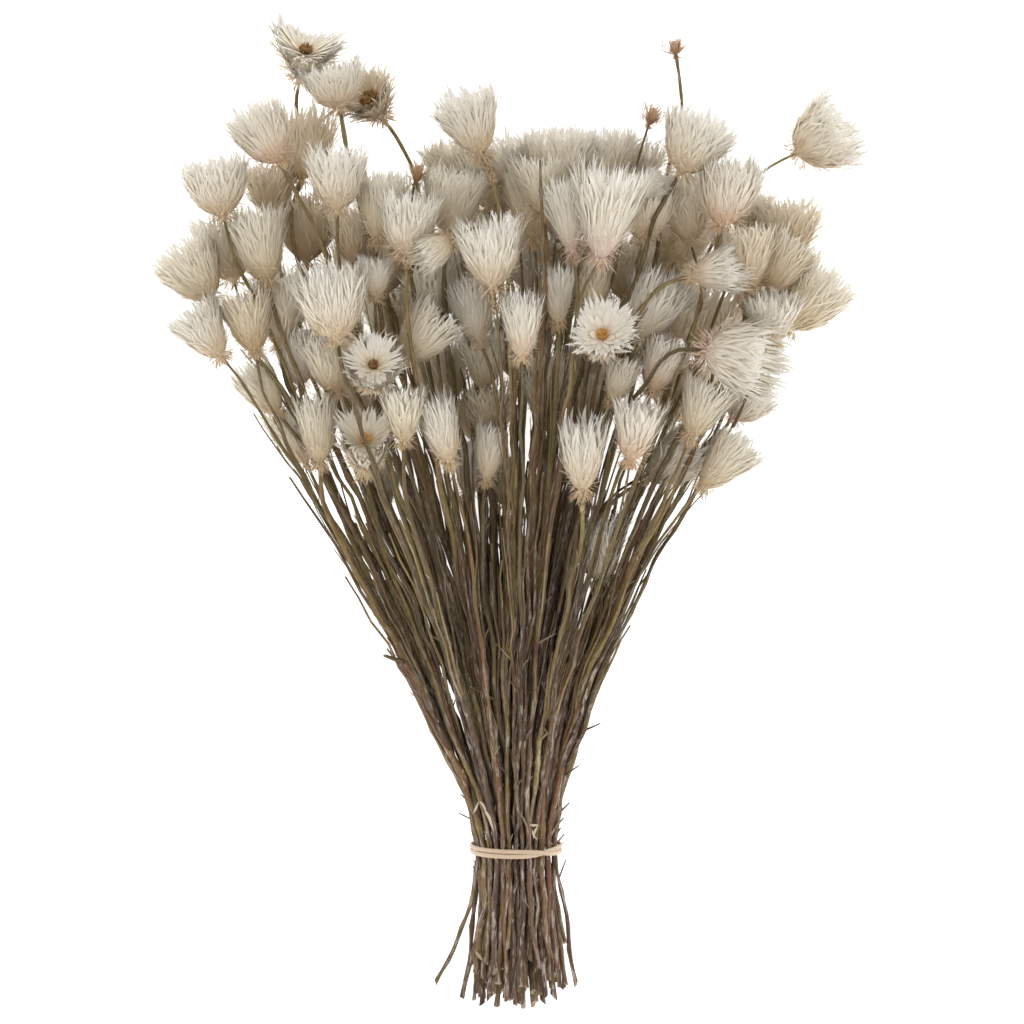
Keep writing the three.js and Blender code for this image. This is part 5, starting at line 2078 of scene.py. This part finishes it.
@dataclass
class ElasticBand:
    """A rubber band of two strands that cross, stretched round the stems.

    Attributes:
        out: How far out the outermost slot lies, where 1 is the bundle's ellipse.
        flat: Thickness of a strand, as a share of its width.
        cross: Angle round the bundle at which the strands cross.
        sag: How far the upper side hangs towards the cut ends.
        lead: How far the whole band lies towards the blooms.
        beside: How far a strand lies from the band's middle.
        over: How far the first strand rises, and the second sinks, where they cross.
    """

    out: float
    steps: int = 120
    sides: int = 12
    flat: float = 0.66
    cross: float = 0.93
    sag: float = 3.0
    lead: float = 0.6
    beside: float = 1.25
    over: Pair = (0.9, -0.2)
    over_reach: float = 0.3

    def strand(self, sway: float, stray: float) -> Surface:
        """Make one strand: an oval section round an ellipse that sways along the bunch.

        Args:
            sway: How far it lies from the band's middle, to one side or the other.
            stray: The number of its shade.

        Returns:
            The strand, closed on itself.
        """
        half_wide = BUNDLE_HALF_WIDTH * self.out + STRAND_RADIUS + STRAND_CLEAR
        half_deep = BUNDLE_HALF_DEPTH * self.out + STRAND_RADIUS + STRAND_CLEAR
        turn = np.arange(self.steps) * TURN / self.steps
        rise = self.over[0] if sway > 0 else self.over[1]
        over = rise * np.exp(-((turn - self.cross) / self.over_reach) ** 2)
        apart = sway * np.tanh(3.2 * np.sin(turn - self.cross))
        middle = np.stack([
            (half_wide + over) * np.cos(turn),
            self.lead - self.sag * np.sin(turn) + apart,
            BAND_HEIGHT + (half_deep + over) * np.sin(turn),
        ], 1)
        along = unit(np.roll(middle, -1, 0) - np.roll(middle, 1, 0))
        out = unit((middle - [0, 0, BAND_HEIGHT]) * [1, 0, 1])
        side = unit(np.cross(along, out))
        angle = np.arange(self.sides) * TURN / self.sides
        ring = (
            np.cos(angle)[:, None] * out[:, None] * STRAND_RADIUS * self.flat
            + np.sin(angle)[:, None] * side[:, None] * STRAND_RADIUS
        )
        points = (middle[:, None] + ring).reshape(-1, 3)
        k, n = np.meshgrid(np.arange(self.steps), np.arange(self.sides), indexing="ij")
        k2, n2 = (k + 1) % self.steps, (n + 1) % self.sides
        quads = np.stack([
            k * self.sides + n, k * self.sides + n2, k2 * self.sides + n2, k2 * self.sides + n,
        ], -1).reshape(-1, 4)[:, ::-1]
        far = np.repeat(turn * half_wide, self.sides)
        place = np.stack([far / far.max(), far * 0, far * 0 + stray], 1)
        across = np.tile(np.sin(angle) * STRAND_RADIUS, self.steps)
        grain = np.stack([across, far * 0 + stray * 9, far], 1)
        return Surface(points, quads, np.zeros((0, 3), int), place, grain, "band_rubber",
                       np.zeros(len(points), int))

    def build(self, setting: Setting) -> bpy.types.Object:
        """Make both strands and dress the piece.

        Args:
            setting: Where the layout lies in the frame.

        Returns:
            The piece.
        """
        strands = [self.strand(self.beside, 0.2), self.strand(-self.beside, 0.8)]
        piece = mesh_object("rubber_band", strands, setting)
        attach(piece, "root")
        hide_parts("elastic_band")
        return piece


# ------------------------------------------------------------------ finishes


class Nodes:
    """A small hand for wiring shader nodes."""

    def __init__(self, tree: Tree) -> None:
        """Keep the tree that the nodes go into."""
        self.tree = tree

    def add(self, kind: str, inputs: dict | None = None, **settings: object) -> bpy.types.Node:
        """Add a node, set its properties, and set or link its inputs.

        Args:
            kind: The node's type.
            inputs: Values or output sockets by input name or number.
            **settings: Properties of the node.

        Returns:
            The node.
        """
        node = self.tree.nodes.new(kind)
        for name, value in settings.items():
            setattr(node, name, value)
        self.give(node, inputs or {})
        return node

    def give(self, node: bpy.types.Node, inputs: dict) -> None:
        """Set or link a node's inputs.

        Args:
            node: The node.
            inputs: Values or output sockets by input name or number.
        """
        for key, value in inputs.items():
            if isinstance(value, Socket):
                self.tree.links.new(value, node.inputs[key])
            else:
                node.inputs[key].default_value = value

    def painted(self, name: str) -> Socket:
        """Read one of the values painted on the surfaces, as a vector."""
        return self.add("ShaderNodeAttribute", attribute_name=name).outputs["Vector"]

    def parts(self, vector: Socket) -> list[Socket]:
        """Split a vector into its three numbers."""
        return list(self.add("ShaderNodeSeparateXYZ", {0: vector}).outputs)

    def ramp(self, value: Socket, low: float, high: float) -> Socket:
        """Map a value smoothly from low-high to 0-1."""
        node = self.add("ShaderNodeMapRange", {0: value, 1: low, 2: high},
                        interpolation_type="SMOOTHSTEP")
        return node.outputs[0]

    def blend(self, share: object, a: object, b: object, how: str = "MIX") -> Socket:
        """Mix two colours by a share."""
        node = self.add("ShaderNodeMix", {0: share, 6: a, 7: b}, data_type="RGBA", blend_type=how)
        return node.outputs[2]

    def math(self, how: str, a: object, b: object) -> Socket:
        """Do one sum on two values."""
        return self.add("ShaderNodeMath", {0: a, 1: b}, operation=how).outputs[0]

    def times(self, a: object, b: object) -> Socket:
        """Multiply two values."""
        return self.math("MULTIPLY", a, b)

    def plus(self, a: object, b: object) -> Socket:
        """Add two values."""
        return self.math("ADD", a, b)


def new_group(name: str, inputs: dict[str, str], outputs: dict[str, str]) -> Tree:
    """Make an empty shader group with named sockets.

    Args:
        name: The group's name.
        inputs: Socket type by input name.
        outputs: Socket type by output name.

    Returns:
        The group's tree.
    """
    tree = bpy.data.node_groups.new(name, "ShaderNodeTree")
    for label, kind in inputs.items():
        tree.interface.new_socket(label, in_out="INPUT", socket_type=kind)
    for label, kind in outputs.items():
        tree.interface.new_socket(label, in_out="OUTPUT", socket_type=kind)
    return tree


def streak_group() -> Tree:
    """Build the shared effect of fine fibres: noise drawn out along the grain.

    The grain's across part is scaled far more than its along part, so the noise turns
    to streaks. Fine and coarse streaks are mixed, and both come out as one mask.

    Returns:
        The group's tree.
    """
    tree = new_group(
        "fibre_streaks",
        {"Across": "NodeSocketFloat", "Along": "NodeSocketFloat"},
        {"Mask": "NodeSocketFloat"},
    )
    n = Nodes(tree)
    given = n.add("NodeGroupInput")
    x, own, y = n.parts(n.painted("grain"))
    across = n.times(x, given.outputs["Across"])
    along = n.times(y, given.outputs["Along"])
    where = n.add("ShaderNodeCombineXYZ", {0: across, 1: own, 2: along})
    fine = n.add("ShaderNodeTexNoise", {"Vector": where.outputs[0], "Scale": 1.0, "Detail": 3.0})
    coarse = n.add("ShaderNodeTexNoise", {"Vector": where.outputs[0], "Scale": 0.3, "Detail": 1.0})
    both = n.plus(n.times(fine.outputs[0], 0.6), n.times(coarse.outputs[0], 0.4))
    n.add("NodeGroupOutput", {"Mask": n.ramp(both, 0.3, 0.7)})
    return tree


class Paint(Nodes):
    """A material in the making: its nodes, its shader and the fibre effect."""

    def __init__(self, name: str, streaks: Tree | None = None) -> None:
        """Start a material.

        Args:
            name: The material's name.
            streaks: The group of the fibre effect, where the material has fibres.
        """
        self.material = bpy.data.materials.new(name)
        self.material.use_nodes = True
        super().__init__(self.material.node_tree)
        self.shader = self.tree.nodes["Principled BSDF"]
        self.streaks = streaks

    def fibres(self, across: float, along: float) -> Socket:
        """Add fibres at a scale across and along the grain, and give their mask."""
        inputs = {"Across": across, "Along": along}
        return self.add("ShaderNodeGroup", inputs, node_tree=self.streaks).outputs["Mask"]

    def bump(self, mask: Socket, strength: float, distance: float) -> Socket:
        """Raise a mask from the surface and give the normal."""
        inputs = {"Strength": strength, "Distance": distance, "Height": mask}
        return self.add("ShaderNodeBump", inputs).outputs[0]

    def finish(self, inputs: dict) -> None:
        """Set or link the shader's inputs by name."""
        self.give(self.shader, inputs)


@dataclass(frozen=True)
class BractFinish:
    """Dry, silky paper: a tinted base, a pale body and paler, thinner tips.

    Attributes:
        base_end: Share of the head's height at which the base colour has gone.
        glow, depth: Share of the light that passes into the paper, and how far, in metres.
        neck: Colour of the scales under the head.
    """

    name: str
    base: Triple
    body: Triple
    tip: Triple
    base_end: float = 0.6
    glow: float = 0.2
    depth: float = 0.001
    neck: Triple = (0.54, 0.39, 0.215)

    def build(self, streaks: Tree) -> None:
        """Make the material.

        Args:
            streaks: The group of the fibre effect.
        """
        n = Paint(self.name, streaks)
        height, own, stray = n.parts(n.painted("place"))
        mask = n.fibres(2.0, 0.12)
        rise = n.ramp(height, -0.1, self.base_end)
        foot = n.blend(n.ramp(height, -0.14, 0.02), (*self.neck, 1), (*self.base, 1))
        colour = n.blend(rise, foot, (*self.body, 1))
        high = n.times(n.ramp(height, 0.5, 1.05), 0.5)
        pale = n.plus(n.times(n.ramp(own, 0.45, 1.0), 0.4), high)
        colour = n.blend(n.times(pale, rise), colour, (*self.tip, 1))
        shade = n.plus(n.times(stray, 0.07), 0.9)
        shade = n.plus(shade, n.times(mask, 0.06))
        grey = n.add("ShaderNodeCombineColor", {0: shade, 1: shade, 2: shade})
        n.finish({
            "Base Color": n.blend(1.0, colour, grey.outputs[0], "MULTIPLY"),
            "Normal": n.bump(mask, 0.25, 0.0002),
            "Roughness": 0.55,
            "Specular IOR Level": 0.3,
            "Sheen Weight": 0.2,
            "Sheen Roughness": 0.4,
            "Subsurface Weight": self.glow,
            "Subsurface Radius": (1.0, 1.0, 1.0),
            "Subsurface Scale": self.depth,
        })


@dataclass(frozen=True)
class DiscFinish:
    """Dry florets, darker towards their bases and paler at their tips."""

    name: str
    deep: Triple
    tip: Triple

    def build(self) -> None:
        """Make the material."""
        n = Paint(self.name)
        _, own, stray = n.parts(n.painted("place"))
        shade = n.plus(n.times(stray, 0.6), 0.4)
        share = n.times(n.ramp(own, 0.2, 1.0), shade)
        colour = n.blend(share, (*self.deep, 1), (*self.tip, 1))
        n.finish({"Base Color": colour, "Roughness": 0.8})


@dataclass(frozen=True)
class BarkFinish:
    """Thin dry bark: olive near the blooms, grey and red brown below, pale where cut.

    Attributes:
        upper, lower: Colours towards which stems turn near the blooms and by the band.
        fleck, wood: Colours of the peeling flecks and of the cut ends.
        furrow, ridge: What the colour is multiplied by between the fibres and on them.
    """

    name: str = "stem_bark"
    hues: tuple[Triple, ...] = (
        (0.075, 0.04, 0.027), (0.28, 0.205, 0.075), (0.20, 0.08, 0.04), (0.13, 0.09, 0.06),
        (0.045, 0.027, 0.02), (0.43, 0.335, 0.135), (0.16, 0.085, 0.06), (0.25, 0.205, 0.08),
    )
    upper: Triple = (0.23, 0.178, 0.07)
    lower: Triple = (0.195, 0.12, 0.09)
    fleck: Triple = (0.56, 0.48, 0.43)
    furrow: Triple = (0.6, 0.58, 0.56)
    ridge: Triple = (1.1, 1.1, 1.1)
    wood: Triple = (0.36, 0.27, 0.19)

    def build(self, streaks: Tree) -> None:
        """Make the material.

        Args:
            streaks: The group of the fibre effect.
        """
        n = Paint(self.name, streaks)
        share, cut, stray = n.parts(n.painted("place"))
        mask = n.fibres(2.6, 0.3)
        slow = n.add("ShaderNodeVectorMath", {0: n.painted("grain"), 1: (0.11, 0.11, 0.02)},
                     operation="MULTIPLY").outputs[0]
        patch = n.add("ShaderNodeTexNoise", {"Vector": slow, "Scale": 1.0, "Detail": 2.0})
        shift = n.times(n.math("SUBTRACT", patch.outputs[0], 0.5), 0.3)
        hue = n.add("ShaderNodeValToRGB", {0: n.plus(stray, shift)})
        stops = hue.color_ramp.elements
        for at in np.linspace(0, 1, len(self.hues))[1:-1]:
            stops.new(at)
        for stop, colour in zip(stops, self.hues):
            stop.color = (*colour, 1)
        olive = n.times(n.ramp(share, 0.1, 0.9), 0.45)
        colour = n.blend(olive, hue.outputs[0], (*self.upper, 1))
        under = n.times(n.math("SUBTRACT", 1.0, n.ramp(share, -0.05, 0.4)), 0.35)
        colour = n.blend(under, colour, (*self.lower, 1))
        fibres = n.blend(n.ramp(mask, 0.1, 0.8), (*self.furrow, 1), (*self.ridge, 1))
        colour = n.blend(1.0, colour, fibres, "MULTIPLY")
        low = n.math("SUBTRACT", 1.0, n.times(n.ramp(share, 0.1, 0.7), 0.75))
        pale = n.times(n.ramp(n.fibres(1.3, 0.22), 0.58, 0.98), low)
        colour = n.blend(n.times(pale, 0.8), colour, (*self.fleck, 1))
        n.finish({
            "Base Color": n.blend(n.ramp(cut, 0.4, 0.9), colour, (*self.wood, 1)),
            "Normal": n.bump(mask, 0.6, 0.0004),
            "Roughness": 0.7,
            "Specular IOR Level": 0.35,
        })


@dataclass(frozen=True)
class RubberFinish:
    """Natural rubber: beige, satin, with faint light marks along it."""

    name: str = "band_rubber"
    light: Triple = (0.66, 0.52, 0.38)
    dark: Triple = (0.54, 0.4, 0.27)

    def build(self, streaks: Tree) -> None:
        """Make the material.

        Args:
            streaks: The group of the fibre effect.
        """
        n = Paint(self.name, streaks)
        n.finish({
            "Base Color": n.blend(n.fibres(4.0, 0.08), (*self.dark, 1), (*self.light, 1)),
            "Roughness": 0.45,
            "Subsurface Weight": 0.1,
            "Subsurface Radius": (0.002, 0.001, 0.0005),
        })


# Bract finishes by tint: the ladder from ivory to brown is partly painted light and shade.
FINISHES = (
    BractFinish("ivory", (0.74, 0.57, 0.36), (0.87, 0.80, 0.665), (0.82, 0.81, 0.775)),
    BractFinish("cream", (0.69, 0.53, 0.32), (0.84, 0.755, 0.59), (0.815, 0.79, 0.72)),
    BractFinish("tan", (0.60, 0.43, 0.23), (0.78, 0.665, 0.475), (0.81, 0.76, 0.66)),
    BractFinish("brown", (0.44, 0.30, 0.16), (0.66, 0.54, 0.365), (0.74, 0.67, 0.54)),
    BractFinish("grey", (0.62, 0.50, 0.35), (0.78, 0.715, 0.60), (0.79, 0.77, 0.71)),
    BractFinish("blush", (0.80, 0.60, 0.50), (0.87, 0.80, 0.665), (0.82, 0.81, 0.775), 0.4),
    BractFinish("rust", (0.75, 0.52, 0.33), (0.85, 0.765, 0.63), (0.815, 0.79, 0.735)),
    BractFinish("spent", (0.36, 0.17, 0.06), (0.48, 0.28, 0.13), (0.66, 0.50, 0.34), 0.7),
)
LEAF = BractFinish("dry_leaf", (0.30, 0.21, 0.12), (0.34, 0.25, 0.15), (0.50, 0.40, 0.27), 0.3, 0.3)
DISCS = (
    DiscFinish("disc_yellow", (0.62, 0.30, 0.06), (0.88, 0.60, 0.20)),
    DiscFinish("disc_brown", (0.14, 0.07, 0.025), (0.50, 0.29, 0.10)),
)


# ------------------------------------------------------------------ studio


@dataclass(frozen=True)
class SoftLight:
    """A soft square light that faces the bunch: lengths in metres, power in watts."""

    name: str
    place: Triple
    size: float
    power: float
    aim: Triple = (0.0, 0.05, 0.05)

    def hang(self) -> None:
        """Hang the light."""
        data = bpy.data.lights.new(self.name, "AREA")
        data.size, data.energy = self.size, self.power
        made = linked(self.name, data)
        made.location = self.place
        way = Vector(self.aim) - Vector(self.place)
        made.rotation_euler = way.to_track_quat("-Z", "Y").to_euler()


@dataclass(frozen=True)
class Studio:
    """A bright white table, soft light and a camera that looks straight down.

    Attributes:
        picture_width: Width of table in the picture, at the blooms' height, in metres.
        band_pixel: Where the band's middle comes in the picture, of picture_pixels.
        level: Height above the table at which the scale is true, in metres.
    """

    picture_width: float = 0.512
    picture_pixels: int = 1024
    band_pixel: Pair = (516.0, 851.0)
    lens: float = 600.0
    sensor: float = 36.0
    level: float = 0.08
    table_half: float = 30.0
    table_tone: tuple[float, float, float, float] = (0.92, 0.92, 0.92, 1.0)
    table_glow: float = 0.8
    lights: tuple[SoftLight, ...] = (
        SoftLight("key_light", (-0.7, 0.8, 2.2), 2.2, 1.5),
        SoftLight("fill_light", (1.4, -0.6, 1.6), 1.4, 2.0),
    )
    sky_tone: tuple[float, float, float, float] = (1.0, 0.99, 0.975, 1.0)
    sky_glow: float = 1.04

    def camera(self, setting: Setting) -> None:
        """Hang the camera over the middle of the picture.

        Args:
            setting: Where the layout lies in the frame.
        """
        scale = self.picture_width / self.picture_pixels
        half = self.picture_pixels / 2
        x = setting.shift[0] * MM + (half - self.band_pixel[0]) * scale
        y = setting.shift[1] * MM + (self.band_pixel[1] - half) * scale
        data = bpy.data.cameras.new("camera")
        data.lens, data.sensor_width = self.lens, self.sensor
        distance = self.picture_width * self.lens / self.sensor
        data.clip_start, data.clip_end = 0.1, distance * 3
        made = linked("camera", data)
        made.location = (x, y, self.level + distance)
        bpy.context.scene.camera = made

    def table(self) -> None:
        """Lay the pale table top under the bunch."""
        half = self.table_half
        mesh = bpy.data.meshes.new("table")
        corners = [(-half, -half, 0), (half, -half, 0), (half, half, 0), (-half, half, 0)]
        mesh.from_pydata(corners, [], [(0, 1, 2, 3)])
        paint = Paint("table_white")
        paint.finish({
            "Base Color": self.table_tone,
            "Roughness": 0.9,
            "Specular IOR Level": 0.1,
            "Emission Color": (1, 1, 1, 1),
            "Emission Strength": self.table_glow,
        })
        mesh.materials.append(paint.material)
        linked("table", mesh)

    def build(self, setting: Setting) -> None:
        """Set up the table, the lights, the sky and the camera.

        Args:
            setting: Where the layout lies in the frame.
        """
        self.camera(setting)
        self.table()
        for light in self.lights:
            light.hang()
        world = bpy.data.worlds.new("soft_sky")
        world.use_nodes = True
        sky = world.node_tree.nodes["Background"]
        sky.inputs["Color"].default_value = self.sky_tone
        sky.inputs["Strength"].default_value = self.sky_glow
        bpy.context.scene.world = world
        bpy.context.scene.view_settings.view_transform = "Standard"


def main() -> None:
    """Build the finishes, the bunch and the studio, and report each piece."""
    logging.basicConfig(level=logging.INFO, format="%(message)s")
    streaks = streak_group()
    for finish in (*FINISHES, LEAF):
        finish.build(streaks)
    for finish in DISCS:
        finish.build()
    BarkFinish().build(streaks)
    RubberFinish().build(streaks)

    layout = Layout.planned()
    heads, stems, setting = layout.heads, layout.stems, layout.setting
    groups = [BloomGroup(*group) for group in grouped(heads, stems).items()]
    pieces = [part.build(layout) for part in (*groups, *bundles_of(stems))]
    out = max(slot.out for slot in stems.slots)
    pieces.append(ElasticBand(out).build(setting))
    total = 0
    for piece in pieces:
        piece.data.calc_loop_triangles()
        count = len(piece.data.loop_triangles)
        total += count
        log.info("%s: %d triangles", piece.name, count)
    log.info("all pieces: %d triangles", total)

    Studio().build(setting)
    bpy.context.view_layer.update()


if __name__ == "__main__":
    main()
